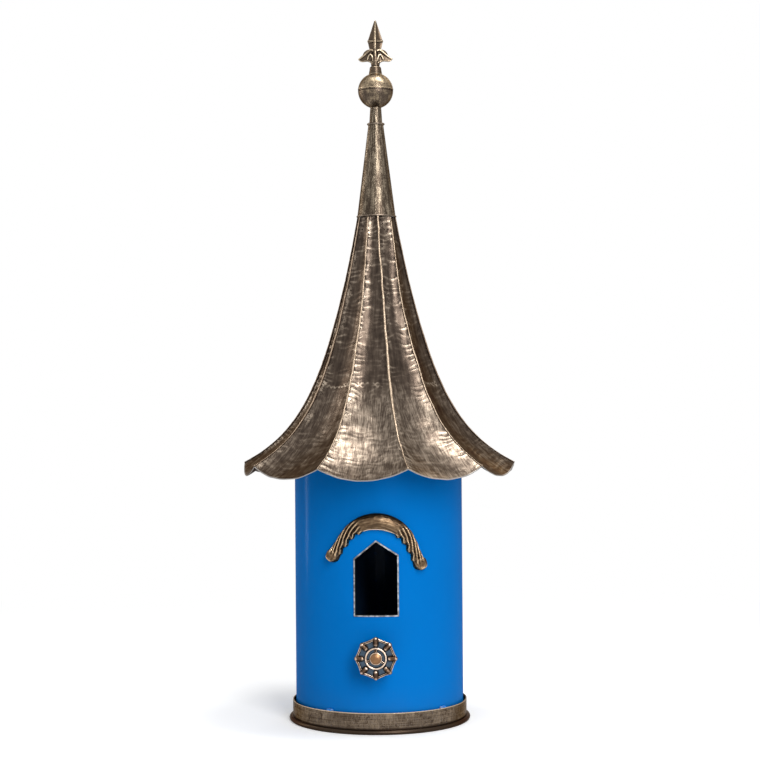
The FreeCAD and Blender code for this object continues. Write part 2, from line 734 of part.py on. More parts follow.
def side_radius(corner_radius):
    """Radius of the hollow between two corners of the handwheel."""
    half = corner_radius * math.sin(math.pi / WHEEL_SIDES)
    hollow = cell("wheel_hollow")
    return (half * half + hollow * hollow) / (hollow * 2.0)


def wheel_outline(sketch, radius):
    arcs = {k: (side_radius(radius), -1) for k in range(WHEEL_SIDES)}
    outline(sketch, polygon(radius, WHEEL_SIDES), arcs)


wheel_radius = cell("wheel_radius")
rim_inside = wheel_radius - cell("rim_width")
perch_wheel = new_body("perch_wheel")
pad(perch_wheel, "web", lambda s: wheel_outline(s, wheel_radius), cell("web_thick"), cell("web_back"))


def rim_outlines(sketch):
    wheel_outline(sketch, wheel_radius)
    wheel_outline(sketch, rim_inside)


pad(perch_wheel, "rim", rim_outlines, cell("rim_thick"))


def ring_outlines(sketch):
    circle(sketch, cell("ring_radius"))
    circle(sketch, cell("ring_radius") - cell("ring_width"))


pad(perch_wheel, "inner_ring", ring_outlines, cell("ring_thick"))
pad(perch_wheel, "hub", lambda s: circle(s, cell("hub_radius")), hub_top)


def arm_outline(sketch, azimuth):
    """A bar from the middle of the hub to the middle of the ring."""
    along = (math.cos(math.radians(azimuth)), math.sin(math.radians(azimuth)))
    half = cell("arm_width") / 2
    far = cell("ring_radius") - cell("ring_width") / 2
    near = cell("hub_radius") / 2
    ends = [(near, -half), (far, -half), (far, half), (near, half)]
    outline(sketch, [(run * along[0] - side * along[1], run * along[1] + side * along[0])
                     for run, side in ends])


for number, azimuth in enumerate(ARM_AZIMUTHS, 1):
    pad(perch_wheel, f"arm_{number}", lambda s, a=azimuth: arm_outline(s, a), cell("arm_thick"))

knuckle_radius = cell("knuckle_radius")
knuckle_lift = cell("knuckle_lift")
knuckle_near = cell("ring_radius") + cell("ring_width") / 2
knuckle_far = wheel_radius - knuckle_radius + cell("wheel_hollow") / 2
knuckle_sketch = new_sketch(perch_wheel, "knuckle_outline", "XZ_Plane")
outline(knuckle_sketch, [
    (knuckle_near, knuckle_lift),
    (knuckle_far + knuckle_radius, knuckle_lift),
    (knuckle_far, knuckle_lift + knuckle_radius),
    (knuckle_near + knuckle_radius, knuckle_lift + knuckle_radius),
], {1: (knuckle_radius, 1), 3: (knuckle_radius, 1)})
knuckle = perch_wheel.newObject("PartDesign::Revolution", "knuckle")
knuckle.Profile = knuckle_sketch
knuckle.ReferenceAxis = (knuckle_sketch, ["Edge1"])
knuckle.Angle = 360.0
knuckles = perch_wheel.newObject("PartDesign::PolarPattern", "knuckles")
knuckles.Originals = [knuckle]
knuckles.Axis = (plane_of(perch_wheel, "Z_Axis"), [""])
knuckles.Angle = 360.0
knuckles.Occurrences = WHEEL_SIDES
perch_wheel.Tip = knuckles
cut_through(perch_wheel, "wheel_hole", lambda s: circle(s, hole_radius), "XY_Plane", cell("perch_gap"))
face_front(perch_wheel, wheel_back)

# The washer's flat sides rest on the drum's hollow inside
washer_face = (drum_inside * drum_inside - cell("washer_radius") * cell("washer_radius")).root()
washer_face = washer_face - cell("stack_play")
nut_face = washer_face - cell("washer_thick") - cell("stack_play")
bolt_end = nut_face - cell("nut_thick") - cell("bolt_spare")

perch_spacer = new_body("perch_spacer")


def spacer_outlines(sketch):
    circle(sketch, cell("spacer_radius"))
    circle(sketch, hole_radius)


pad(perch_spacer, "spacer", spacer_outlines, cell("perch_gap") - cell("stack_play") * 2.0)
face_front(perch_spacer, drum_radius + cell("stack_play"))

perch_washer = new_body("perch_washer")


def washer_outlines(sketch):
    circle(sketch, cell("washer_radius"))
    circle(sketch, hole_radius)


pad(perch_washer, "washer", washer_outlines, cell("washer_thick"))
face_front(perch_washer, washer_face - cell("washer_thick"))

perch_nut = new_body("perch_nut")


def nut_outlines(sketch):
    outline(sketch, polygon(cell("nut_flats") / 2 / math.cos(math.pi / NUT_SIDES), NUT_SIDES))
    circle(sketch, cell("bolt_radius") + cell("nut_play"))


pad(perch_nut, "nut", nut_outlines, cell("nut_thick"))
face_front(perch_nut, nut_face - cell("nut_thick"))

shank_length = wheel_back + hub_top + cell("stack_play") - bolt_end
dome = cell("head_thick") - cell("head_edge")
dome_radius = (cell("bolt_head") * cell("bolt_head") + dome * dome) / (dome * 2.0)
perch_bolt = new_body("perch_bolt")
revolve(perch_bolt, "bolt_turn", [
    (NOTHING, NOTHING),
    (cell("bolt_radius"), NOTHING),
    (cell("bolt_radius"), shank_length),
    (cell("bolt_head"), shank_length),
    (cell("bolt_head"), shank_length + cell("head_edge")),
    (NOTHING, shank_length + cell("head_thick")),
], {4: (dome_radius, 1)})
face_front(perch_bolt, bolt_end)

# Wire ring under the spire, the spire, the small ring and the neck

spire_ring = keep(doc.addObject("Part::Torus", "spire_ring_torus"), "spire_ring")
ring_level = cell("rim_height") + cell("roof_height") + cell("ring_play") + cell("spire_wire")
bind(spire_ring, "Radius1", cell("spire_ring_radius"))
bind(spire_ring, "Radius2", cell("spire_wire"))
bind(spire_ring, "Placement.Base.z", ring_level)

spire_level = ring_level + cell("spire_wire") + cell("ring_play")
spire_end = spire_level + cell("spire_length")
spire_cone = new_body("spire_cone")
revolve(spire_cone, "spire_turn", [
    (cell("spire_foot") - cell("spire_sheet"), spire_level),
    (cell("spire_foot"), spire_level),
    (cell("spire_top_radius"), spire_end),
    (cell("spire_top_radius") - cell("spire_sheet"), spire_end),
])

neck_ring = keep(doc.addObject("Part::Torus", "neck_ring_torus"), "neck_ring")
neck_level = spire_end + cell("ring_play") + cell("neck_wire")
bind(neck_ring, "Radius1", cell("neck_ring_radius"))
bind(neck_ring, "Radius2", cell("neck_wire"))
bind(neck_ring, "Placement.Base.z", neck_level)

ball_radius = cell("ball_radius")
ball_level = neck_level + cell("neck_length") + ball_radius
neck_foot = spire_end - cell("neck_tuck")
neck_bore = cell("neck_radius") - cell("neck_sheet")


def seat_level(radius):
    """Height at which a ring of this radius meets the ball from below."""
    return ball_level - (ball_radius * ball_radius - radius * radius).root() - cell("ball_play")


neck_cone = new_body("neck_cone")
neck_top = cell("neck_top_radius")
neck_top_bore = neck_top - cell("neck_sheet")
revolve(neck_cone, "neck_turn", [
    (neck_bore, neck_foot),
    (cell("neck_radius"), neck_foot),
    (cell("neck_radius"), neck_level),
    (neck_top, seat_level(neck_top)),
    (neck_top_bore, seat_level(neck_top_bore)),
    (neck_bore, neck_level),
])

# Ball in two halves, the upper one stepped in to lap inside the lower

ball_inside = ball_radius - cell("ball_sheet")
ball_step = ball_inside - cell("ball_play")
step_skin = ball_step - cell("ball_sheet")
seam = cell("ball_seam")
seam_level = ball_level + seam
seam_edge = (ball_radius * ball_radius - seam * seam).root()
seam_edge_inside = (ball_inside * ball_inside - seam * seam).root()
ball_lower = new_body("ball_lower")
revolve(ball_lower, "lower_turn", [
    (NOTHING, ball_level - ball_radius),
    (ball_radius, ball_level),
    (seam_edge, seam_level),
    (seam_edge_inside, seam_level),
    (ball_inside, ball_level),
    (NOTHING, ball_level - ball_inside),
], {0: (ball_radius, 1), 1: (ball_radius, 1), 3: (ball_inside, -1), 4: (ball_inside, -1)})

cap_level = seam_level + cell("ball_play")
cap_rise = seam + cell("ball_play")
cap_edge = (ball_radius * ball_radius - cap_rise * cap_rise).root()
turn_level = cap_level + cell("ball_sheet")
turn_rise = cap_rise + cell("ball_sheet")
turn_edge = (ball_inside * ball_inside - turn_rise * turn_rise).root()
lap_level = seam_level - cell("ball_lap")
lap_step = (ball_step * ball_step - cell("ball_lap") * cell("ball_lap")).root() - cell("ball_play")
ball_upper = new_body("ball_upper")
revolve(ball_upper, "upper_turn", [
    (lap_step - cell("ball_sheet"), lap_level),
    (lap_step, lap_level),
    (lap_step, cap_level),
    (cap_edge, cap_level),
    (NOTHING, ball_level + ball_radius),
    (NOTHING, ball_level + ball_inside),
    (turn_edge, turn_level),
    (lap_step - cell("ball_sheet"), turn_level),
], {3: (ball_radius, 1), 5: (ball_inside, -1)})


# Finial, one casting: collar, stem, two leaves with ribs, and a four-ribbed spear

stem_foot = (ball_level + ball_radius + cell("collar_height") + cell("collar_lip")).value
leaf_under = stem_foot + mm("stem_length")
leaf_top = leaf_under + mm("leaf_height")

def star_wire(half_width, hollow, level):
    """A four-pointed outline with hollow sides."""
    deep = half_width * mm("spear_flatness")
    tips = [Vector(half_width, 0, level), Vector(0, deep, level),
            Vector(-half_width, 0, level), Vector(0, -deep, level)]
    edges = []
    for k, tip in enumerate(tips):
        after = tips[(k + 1) % 4]
        middle = Vector((tip.x + after.x) * hollow, (tip.y + after.y) * hollow, level)
        edges.append(Part.Arc(tip, middle, after).toShape())
    return Part.Wire(edges)


def spear_shape():
    """Flutes run up between four ribs, and a band bridges them at the widest place."""
    half_band = mm("spear_band") / 2
    below = leaf_top + mm("spear_wide") - half_band
    above = leaf_top + mm("spear_wide") + half_band
    widest = mm("spear_radius")
    sections = [
        (mm("spear_foot"), SPEAR_FLUTE, leaf_top - half_band),
        (widest * SPEAR_BELOW, SPEAR_FLUTE, below - half_band / 2),
        (widest, SPEAR_BRIDGE, below),
        (widest, SPEAR_BRIDGE, above),
        (widest * SPEAR_ABOVE, SPEAR_FLUTE, above + half_band / 2),
        (mm("spear_point"), SPEAR_BRIDGE, leaf_top + mm("spear_height")),
    ]
    return Part.makeLoft([star_wire(*section) for section in sections], True, True, False)


def leaf_points(shares, side):
    """Places in a leaf's front view, given as shares of its reach and of its height."""
    return [Vector(side * along * mm("leaf_reach"), 0, leaf_under + up * mm("leaf_height"))
            for along, up in shares]


def leaf_edge(shares, side):
    """One edge of a leaf's front view."""
    curve = Part.BSplineCurve()
    curve.interpolate(leaf_points(shares, side))
    return curve.toShape()


def leaf_shape(side):
    """One leaf: its front view and its plan, each drawn out and crossed with the other."""
    over = leaf_edge(LEAF_OVER, side)
    below = leaf_edge(LEAF_BELOW, side)
    close = Part.LineSegment(below.lastVertex().Point, over.firstVertex().Point).toShape()
    front = Part.Face(Part.Wire([over, below, close])).extrude(Vector(0, mm("leaf_thick"), 0))
    front.translate(Vector(0, -mm("leaf_thick") / 2, 0))
    reach = side * (mm("leaf_reach") + mm("rib_radius"))
    near = [Vector(share * reach, -depth * mm("leaf_thick") / 2, 0) for share, depth in LEAF_PLAN]
    near.append(Vector(reach, -mm("leaf_edge") / 2, 0))
    far = [Vector(point.x, -point.y, 0) for point in reversed(near)]
    plan = Part.Wire([
        Part.Arc(*near).toShape(), Part.LineSegment(near[-1], far[0]).toShape(),
        Part.Arc(*far).toShape(), Part.LineSegment(far[-1], near[0]).toShape(),
    ])
    return front.common(Part.Face(plan).extrude(UP * leaf_top * 2))


def rib_shape(shares, side, face):
    """A round rib along an arc, on the front or the back of a leaf, thinner towards its end."""
    line = Part.Arc(*leaf_points(shares, side)).toShape()
    ring = line.Curve
    start, stop = line.ParameterRange
    rings = []
    for k in range(RIB_CUTS + 1):
        share = k / RIB_CUTS
        middle = ring.value(start + (stop - start) * share)
        away = (middle - ring.Center).normalize()
        radius = mm("rib_radius") * (1 - RIB_TAPER * share * share)
        turns = [2 * math.pi * n / RIB_SIDES for n in range(RIB_SIDES)]
        rings.append([middle + away * radius * math.cos(a) + FRONT * radius * math.sin(a) for a in turns])
    rib = facets(rings)
    thin = math.degrees(math.atan2((mm("leaf_thick") - mm("leaf_edge")) / 2, mm("leaf_reach")))
    rib.rotate(Vector(0, 0, 0), UP, side * -face * thin)
    rib.translate(Vector(0, face * (mm("leaf_thick") - mm("rib_radius")) / 2, 0))
    return rib


def collar_shape():
    """The collar, hollowed to the ball, and the stem above it, turned in one."""
    foot, shoulder, hollow = mm("collar_foot"), mm("collar_top"), mm("collar_hollow")
    seat = math.sqrt(mm("ball_radius") ** 2 - foot ** 2) + ball_level.value
    start = Vector(foot, 0, seat)
    stop = Vector(shoulder, 0, stem_foot - mm("collar_lip"))
    waist = (start + stop) * 0.5 - Vector(hollow, 0, 0)
    side = Part.Arc(start, waist, stop)
    bevel = Vector(shoulder - mm("collar_bevel"), 0, stem_foot - mm("collar_bevel"))
    rest = Part.makePolygon([
        stop, bevel,
        Vector(mm("stem_radius"), 0, stem_foot),
        Vector(mm("stem_flare"), 0, leaf_under),
        Vector(0, 0, leaf_under),
        Vector(0, 0, seat),
        start,
    ])
    turned = Part.Face(Part.Wire([side.toShape(), *rest.Edges])).revolve(Vector(0, 0, 0), UP, 360)
    ball = Part.makeSphere(mm("ball_radius") + mm("ball_play"), Vector(0, 0, ball_level.value))
    return turned.cut(ball)


def finial_shape():
    core_top = mm("spear_foot") * mm("spear_flatness")
    finial = Part.makeCone(mm("stem_flare"), core_top, mm("leaf_height"), UP * leaf_under)
    for piece in (collar_shape(), spear_shape(), leaf_shape(1), leaf_shape(-1)):
        finial = finial.fuse(piece)
    for side in (1, -1):
        for face in (1, -1):
            finial = finial.fuse(rib_shape(OUTER_RIB, side, face))
            finial = finial.fuse(rib_shape(INNER_RIB, side, face))
    return finial.removeSplitter().Solids[0]


def add_feature(label, shape, azimuth=0.0):
    """A piece made without sketches, turned from the front to its own azimuth."""
    piece = keep(doc.addObject("Part::Feature", label + "_shape"), label)
    piece.Shape = shape
    piece.Placement = Placement(Vector(0, 0, 0), Rotation(UP, azimuth))
    return piece


add_feature("entrance_trim", entrance_trim_shape())
add_feature("base_tacks", Part.makeCompound([tack_shape(azimuth) for azimuth in TACK_AZIMUTHS]))
add_feature("door_arch", door_arch_shape())
add_feature("finial_spear", finial_shape())
first_petal = petal_shape()
for number in range(int(mm("petals"))):
    turned = mm("petal_azimuth") + 360.0 * number / mm("petals")
    add_feature(f"roof_petal_{number + 1:02d}", first_petal, turned)

doc.recompute()

# Check every object, then write each piece
for item in doc.Objects:
    if "Invalid" in item.State or "Error" in item.State:
        raise RuntimeError(f"{item.Name} failed: {item.State}")
os.makedirs("parts", exist_ok=True)
for piece in parts:
    shape = piece.Shape
    if shape.isNull() or not shape.isValid() or not shape.Solids:
        raise RuntimeError(f"{piece.Label} has no valid solid")
    shape.exportStep(f"parts/{piece.Label}.step")
    print(f"{piece.Label}: {len(shape.Solids)} solid, {shape.Volume / 1000:.2f} cm3")
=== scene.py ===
# %% [markdown]
# # Dressing a metal birdhouse
# The birdhouse comes as exact solids: a painted drum, ten roof petals, a spire and a few castings.
# This lesson gives each of them the look of worked metal, and adds what a hammer, a torch and a
# file leave behind: wobbly seams, weld beads, carved leaves and worn edges.

# %% Load the solids
import math

import bmesh
import bpy
from mathutils import Matrix, Vector, noise


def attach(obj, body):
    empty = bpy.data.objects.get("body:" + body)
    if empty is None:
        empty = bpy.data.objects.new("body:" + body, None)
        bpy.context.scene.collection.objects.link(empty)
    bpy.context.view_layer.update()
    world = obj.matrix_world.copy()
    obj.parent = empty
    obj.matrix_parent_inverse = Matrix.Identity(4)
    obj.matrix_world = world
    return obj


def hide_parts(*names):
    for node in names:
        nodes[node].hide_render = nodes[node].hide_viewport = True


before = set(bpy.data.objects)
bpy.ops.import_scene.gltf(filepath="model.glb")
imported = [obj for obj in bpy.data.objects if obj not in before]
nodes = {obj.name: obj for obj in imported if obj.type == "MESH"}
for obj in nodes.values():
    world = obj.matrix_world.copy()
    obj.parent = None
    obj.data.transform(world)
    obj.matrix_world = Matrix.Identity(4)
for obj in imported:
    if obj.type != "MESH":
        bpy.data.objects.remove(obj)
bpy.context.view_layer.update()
MM = 0.001

# %% [markdown]
# ## Camera
# The photographer stood two metres away with a short telephoto lens, level with the roof's flank and
# a hair to the right. The picture is turned by less than half a degree. We place the camera on a
# circle round the birdhouse's axis, so every number says something about the photograph.

# %% Camera
SPIN = math.radians(1.9)
DISTANCE = 2.122
EYE = 0.405
PAN = math.radians(-0.078)
ROLL = math.radians(-0.40)
LENS, FILM_WIDTH = 83.75, 36.0

camera_data = bpy.data.cameras.new("photo_camera")
camera_data.sensor_width = FILM_WIDTH
camera_data.lens = LENS
camera = bpy.data.objects.new("photo_camera", camera_data)
bpy.context.collection.objects.link(camera)
turn = Matrix.Rotation(SPIN + PAN, 4, "Z") @ Matrix.Rotation(math.pi / 2, 4, "X")
turn = turn @ Matrix.Rotation(ROLL, 4, "Z")
stand = Vector((DISTANCE * math.sin(SPIN), -DISTANCE * math.cos(SPIN), EYE))
camera.matrix_world = Matrix.Translation(stand) @ turn
bpy.context.scene.camera = camera
bpy.context.scene.view_settings.view_transform = "Standard"
print("camera at", [round(v, 3) for v in stand])

# %% [markdown]
# ## Shader maths as plain expressions
# A worn metal is mostly arithmetic: this mask times that noise, less the distance to the seam. One
# small class holds an output socket and turns + - * / into Math nodes, so the formulas below read
# like formulas. Every other node comes from one method of the material or world that it belongs to.

# %% Sockets that can be added and multiplied
class Wire:
    """An output socket that takes part in sums and products as a number does."""

    def __init__(self, graph, socket):
        self.graph = graph
        self.socket = socket

    def math(self, operation, *others):
        """A Math node that takes this number first."""
        return self.graph.node("Math", {"operation": operation}, dict(enumerate((self, *others))))

    def math_after(self, operation, first):
        """A Math node that takes this number second."""
        return self.graph.node("Math", {"operation": operation}, {0: first, 1: self})

    def __add__(self, other):
        return self.math("ADD", other)

    def __sub__(self, other):
        return self.math("SUBTRACT", other)

    def __rsub__(self, other):
        return self.math_after("SUBTRACT", other)

    def __mul__(self, other):
        return self.math("MULTIPLY", other)

    def __truediv__(self, other):
        return self.math("DIVIDE", other)

    def __rtruediv__(self, other):
        return self.math_after("DIVIDE", other)

    def __pow__(self, other):
        return self.math("POWER", other)

    def __rpow__(self, other):
        return self.math_after("POWER", other)

    def __abs__(self):
        return self.math("ABSOLUTE")

    __radd__ = __add__
    __rmul__ = __mul__


# %% One way to make a node
class Graph:
    """The nodes of a material or of the world, all made by the method node."""

    def __init__(self, owner):
        owner.use_nodes = True
        self.owner = owner
        self.tree = owner.node_tree
        self.tree.nodes.clear()

    def node(self, kind, settings=None, inputs=None, output=0):
        """Make a node: first its settings, then the values or links of its inputs."""
        made = self.tree.nodes.new("ShaderNode" + kind)
        for name, value in (settings or {}).items():
            setattr(made, name, value)
        for name, value in (inputs or {}).items():
            if isinstance(value, Wire):
                self.tree.links.new(value.socket, made.inputs[name])
            else:
                made.inputs[name].default_value = value
        return Wire(self, made.outputs[output]) if len(made.outputs) else None


# %% A finish, measured in millimetres
class Finish(Graph):
    """A material. Its place is where a point lies on the birdhouse, in millimetres."""

    def __init__(self, name):
        super().__init__(bpy.data.materials.new(name))
        self.place = self.node("VectorMath", {"operation": "MULTIPLY"},
                               {0: self.node("TexCoord", output="Object"), 1: (1 / MM,) * 3})

    def split(self, vector):
        """The three parts of a vector."""
        return [self.node("SeparateXYZ", inputs={0: vector}, output=k) for k in range(3)]

    def join(self, x, y, z=0.0):
        """A vector of three numbers."""
        return self.node("CombineXYZ", inputs={0: x, 1: y, 2: z})

    def kept(self, name):
        """A number that the mesh keeps as an attribute."""
        return self.node("Attribute", {"attribute_name": name}, output="Fac")

    def noise(self, vector, size, detail=2.0, rough=0.5):
        """Cloudy noise from 0 to 1 whose clouds are about size across."""
        return self.node("TexNoise", inputs={"Vector": vector, "Scale": 1.0 / size, "Detail": detail,
                                             "Roughness": rough})

    def patches(self, vector, size, detail, rough, low, high):
        """The same noise made into patches: 0 where it is below low and 1 where it is above high."""
        return self.ease(self.noise(vector, size, detail, rough), low, high)

    def cells(self, vector, size, smooth):
        """Distance to the middle of the nearest cell, 0 in the middle."""
        return self.node("TexVoronoi", {"feature": "SMOOTH_F1"},
                         {"Vector": vector, "Scale": 1.0 / size, "Smoothness": smooth})

    def ease(self, value, low, high):
        """0 below low and 1 above high, with a soft passage."""
        return self.node("MapRange", {"interpolation_type": "SMOOTHSTEP"},
                         {0: value, 1: low, 2: high, 3: 0.0, 4: 1.0})

    def mix(self, factor, first, second):
        """A colour between two colours."""
        return self.node("Mix", {"data_type": "RGBA"}, {0: factor, 6: first, 7: second}, output=2)

    def bump(self, height):
        """A bump from heights in millimetres."""
        return self.node("Bump", inputs={"Height": height, "Distance": MM, "Strength": 1.0})

    def surface(self, color, roughness, metallic, normal, **more):
        """Close the material with the one shader that all pieces use."""
        inputs = {"Base Color": color, "Roughness": roughness, "Metallic": metallic, "Normal": normal}
        inputs.update(more)
        shader = self.node("BsdfPrincipled", inputs=inputs)
        self.node("OutputMaterial", inputs={"Surface": shader})
        return self.owner


# %% Colours, and materials for the solids
def rgb(red, green, blue):
    """A screen colour, 0 to 255, as the linear colour that a shader takes."""
    def linear(value):
        value /= 255
        return value / 12.92 if value <= 0.04045 else ((value + 0.055) / 1.055) ** 2.4
    return (linear(red), linear(green), linear(blue), 1.0)


def dress(material, *names):
    """Give the solids of these names one material."""
    for name in names:
        mesh = nodes[name].data
        mesh.materials.clear()
        mesh.materials.append(material)


print("helpers ready")

# %% [markdown]
# ## Studio
# The photograph was lit softly, in front of white. We use five rectangles of light. A tall one in
# front, a little to the right, does most of the work and one hangs above. One rakes down from high on
# the right and picks out the hammer marks, a tall narrow one draws a thin streak on the left of the
# drum, and a weak one keeps the back from going black. A narrow lamp is brighter than a wide one of the
# same power, so it draws crisp lights on metal, while matt paint only sees how much light it gets.

# %% Floor
WHITE, BLACK = (1.0, 1.0, 1.0, 1.0), (0.0, 0.0, 0.0, 1.0)
FLOOR_GREY = 0.80
FLOOR_GLOW = 0.36
FLOOR_REACH = 30.0
NEAR_FLOOR, FAR_FLOOR = 0.35, 1.3


def rays_that_see_white(graph):
    """1 for what the camera sees, straight, in a mirror or through glass, and 0 for light on things."""
    straight, mirrored, through = [graph.node("LightPath", output=f"Is {kind} Ray")
                                   for kind in ("Camera", "Glossy", "Transmission")]
    return straight.math("MAXIMUM", mirrored.math("MAXIMUM", through))


def floor_material():
    """Pale near the birdhouse, where its shadow falls, and plain white further off."""
    finish = Finish("pale_floor")
    x, y, _ = finish.split(finish.place)
    far = finish.ease((x * x + y * y) ** 0.5 * MM, NEAR_FLOOR, FAR_FLOOR)
    seen = rays_that_see_white(finish)
    strength = seen * (FLOOR_GLOW + far * (1 - FLOOR_GLOW))
    glow = finish.node("Emission", inputs={"Color": WHITE, "Strength": strength})
    color = finish.mix(far * seen, (FLOOR_GREY,) * 3 + (1.0,), BLACK)
    matt = finish.node("BsdfDiffuse", inputs={"Color": color})
    both = finish.node("AddShader", inputs={0: glow, 1: matt})
    finish.node("OutputMaterial", inputs={"Surface": both})
    return finish.owner


floor_shape = bmesh.new()
bmesh.ops.create_grid(floor_shape, x_segments=1, y_segments=1, size=FLOOR_REACH)
floor_data = bpy.data.meshes.new("floor")
floor_shape.to_mesh(floor_data)
floor_shape.free()
floor = bpy.data.objects.new("floor", floor_data)
bpy.context.collection.objects.link(floor)
floor_data.materials.append(floor_material())
print("floor:", 2 * FLOOR_REACH, "m square")

# %% Background
ROOM_GREY = 0.11

world = bpy.data.worlds.new("studio")
bpy.context.scene.world = world
room = Graph(world)
light = rays_that_see_white(room) * (1 - ROOM_GREY) + ROOM_GREY
background = room.node("Background", inputs={"Color": WHITE, "Strength": light})
room.node("OutputWorld", inputs={"Surface": background})
print("background: white to the camera, and a grey of", ROOM_GREY, "as a light")

# %% Lamps
LAMP_AIM = Vector((0.0, 0.0, 0.45))


def softbox(name, azimuth, elevation, distance, size, energy):
    """A soft rectangle of light that faces the birdhouse, in degrees, metres and watts.

    The azimuth counts from the front to the right.
    """
    lamp = bpy.data.lights.new(name, "AREA")
    lamp.shape = "RECTANGLE"
    lamp.size, lamp.size_y = size
    lamp.energy = energy
    piece = bpy.data.objects.new(name, lamp)
    bpy.context.collection.objects.link(piece)
    across, up = math.radians(azimuth), math.radians(elevation)
    away = Vector((math.sin(across) * math.cos(up), -math.cos(across) * math.cos(up), math.sin(up)))
    piece.location = LAMP_AIM + away * distance
    piece.rotation_euler = away.to_track_quat("Z", "Y").to_euler()


softbox("key", 21, 21, 2.4, (0.8, 1.9), 47)
softbox("top", 12, 82, 2.2, (1.3, 1.2), 20)
softbox("rake", 60, 72, 2.2, (0.45, 1.1), 20)
softbox("strip", -112, 8, 1.8, (0.14, 1.8), 9)
softbox("back", 170, 35, 2.4, (1.5, 1.2), 12)
print("studio ready")

# %% [markdown]
# ## Roof petals
# Each petal is a bronze sheet that was hammered hollow over a stake. A bump map alone would leave its
# edge and its underside smooth, so the dents go into the mesh. We start from a flat grid, lay it on
# the same curve and hollow that the solid petal has, and push every vertex in by the depth of the
# dent it lies in. Solidify then gives the sheet its thickness, with the dents on both faces.

# %% Where a petal lies
PETALS = 10
FIRST_PETAL = -5.6
HALF_PETAL = math.pi / PETALS
ROOF_CURVE = [(23.6, 600.0), (41.0, 501.0), (70.0, 397.0), (89.0, 346.0), (164.0, 307.2)]
ROOF_TOP_RADIUS, ROOF_TOP = ROOF_CURVE[0]
OUT_SHARE = 0.6
SCALLOP_TILT = math.radians(46.0)
HOLLOW = 0.0925
SEAM_HEIGHT = 1.4
SHEET = 0.9


def roof_curve(place):
    """The ridge between two petals, from the roof's top at 0 to its rim at 1, and its direction."""
    points = [Vector(point) for point in ROOF_CURVE]
    while len(points) > 2:
        points = [a.lerp(b, place) for a, b in zip(points, points[1:])]
    return points[0].lerp(points[1], place), (points[1] - points[0]).normalized()


class PetalCut:
    """One cut across a petal, in millimetres: a flat arc, half wide to each side and depth deep."""

    def __init__(self, place):
        crest, slope = roof_curve(place)
        outward = Vector((-slope.y, slope.x))
        base = crest - outward * SEAM_HEIGHT
        tilt = SCALLOP_TILT * place ** 6
        self.out = Vector((outward.x * math.cos(tilt) - outward.y * math.sin(tilt),
                           outward.y * math.cos(tilt) + outward.x * math.sin(tilt)))
        self.radius = base.x * math.cos(HALF_PETAL)
        self.height = base.y
        self.half = base.x * math.sin(HALF_PETAL)
        self.depth = HOLLOW * 2 * self.half / math.cos(tilt)
        self.bend = (self.half ** 2 + self.depth ** 2) / (2 * self.depth)

    def point(self, across):
        """A point on the hollow face of the petal that faces the front."""
        out = self.bend - self.depth - math.sqrt(self.bend ** 2 - across ** 2)
        return Vector((across, -(self.radius + out * self.out.x), self.height + out * self.out.y))


print("rim of a petal:", [round(v, 1) for v in PetalCut(1.0).point(0.0)])

# %% How far each seam wanders
# Some seams drift off their line: places along the seam, each with a turn in degrees.
SEAM_DRIFT = {0: [(0.0, -6.6), (0.2, -1.5), (0.4, 0.0), (1.0, 1.2)],
              1: [(0.0, -0.8), (0.24, -6.2), (0.5, -2.0), (1.0, 0.0)],
              9: [(0.0, 0.0), (0.24, 2.4), (0.5, 1.0), (1.0, 1.0)]}
STRAIGHT = [(0.0, 0.0), (1.0, 0.0)]
# All of them sway: the pace along the seam, the step from seam to seam, the noise's layer, millimetres.
SEAM_WAVES = [(13.0, 7.1, 0.0, 1.0), (40.0, 3.7, 9.0, 0.45)]


def soft(value, low, high):
    """0 below low and 1 above high, with a soft passage."""
    share = min(max((value - low) / (high - low), 0.0), 1.0)
    return share * share * (3 - 2 * share)


def seam_turn(number, place):
    """How far a seam has wandered round the roof, in radians."""
    number %= PETALS
    radius = roof_curve(place)[0].x
    sway = sum(noise.noise(Vector((place * pace, number * apart, layer))) * size
               for pace, apart, layer, size in SEAM_WAVES)
    turn = sway * soft(place, 0.0, 0.05) / radius
    knots = SEAM_DRIFT.get(number, STRAIGHT)
    for (low, first), (high, second) in zip(knots, knots[1:]):
        if low <= place <= high:
            turn += math.radians(first + (second - first) * soft(place, low, high))
            break
    return turn


print("seams that drift:", sorted(SEAM_DRIFT))

# %% Hammer marks
LANE = 17.3
EVEN_PETAL = 1
DENT_ACROSS, DENT_DOWN, DENT_DEPTH = 9.0, 7.0, 0.34
SWELL_DEPTH = 0.62
WAVE_PITCH, WAVE_DEPTH = 1.15, 0.34
CALM_START, CALM_FULL, CALM_LAST, CALM_END = 235.0, 262.0, 290.0, 305.0


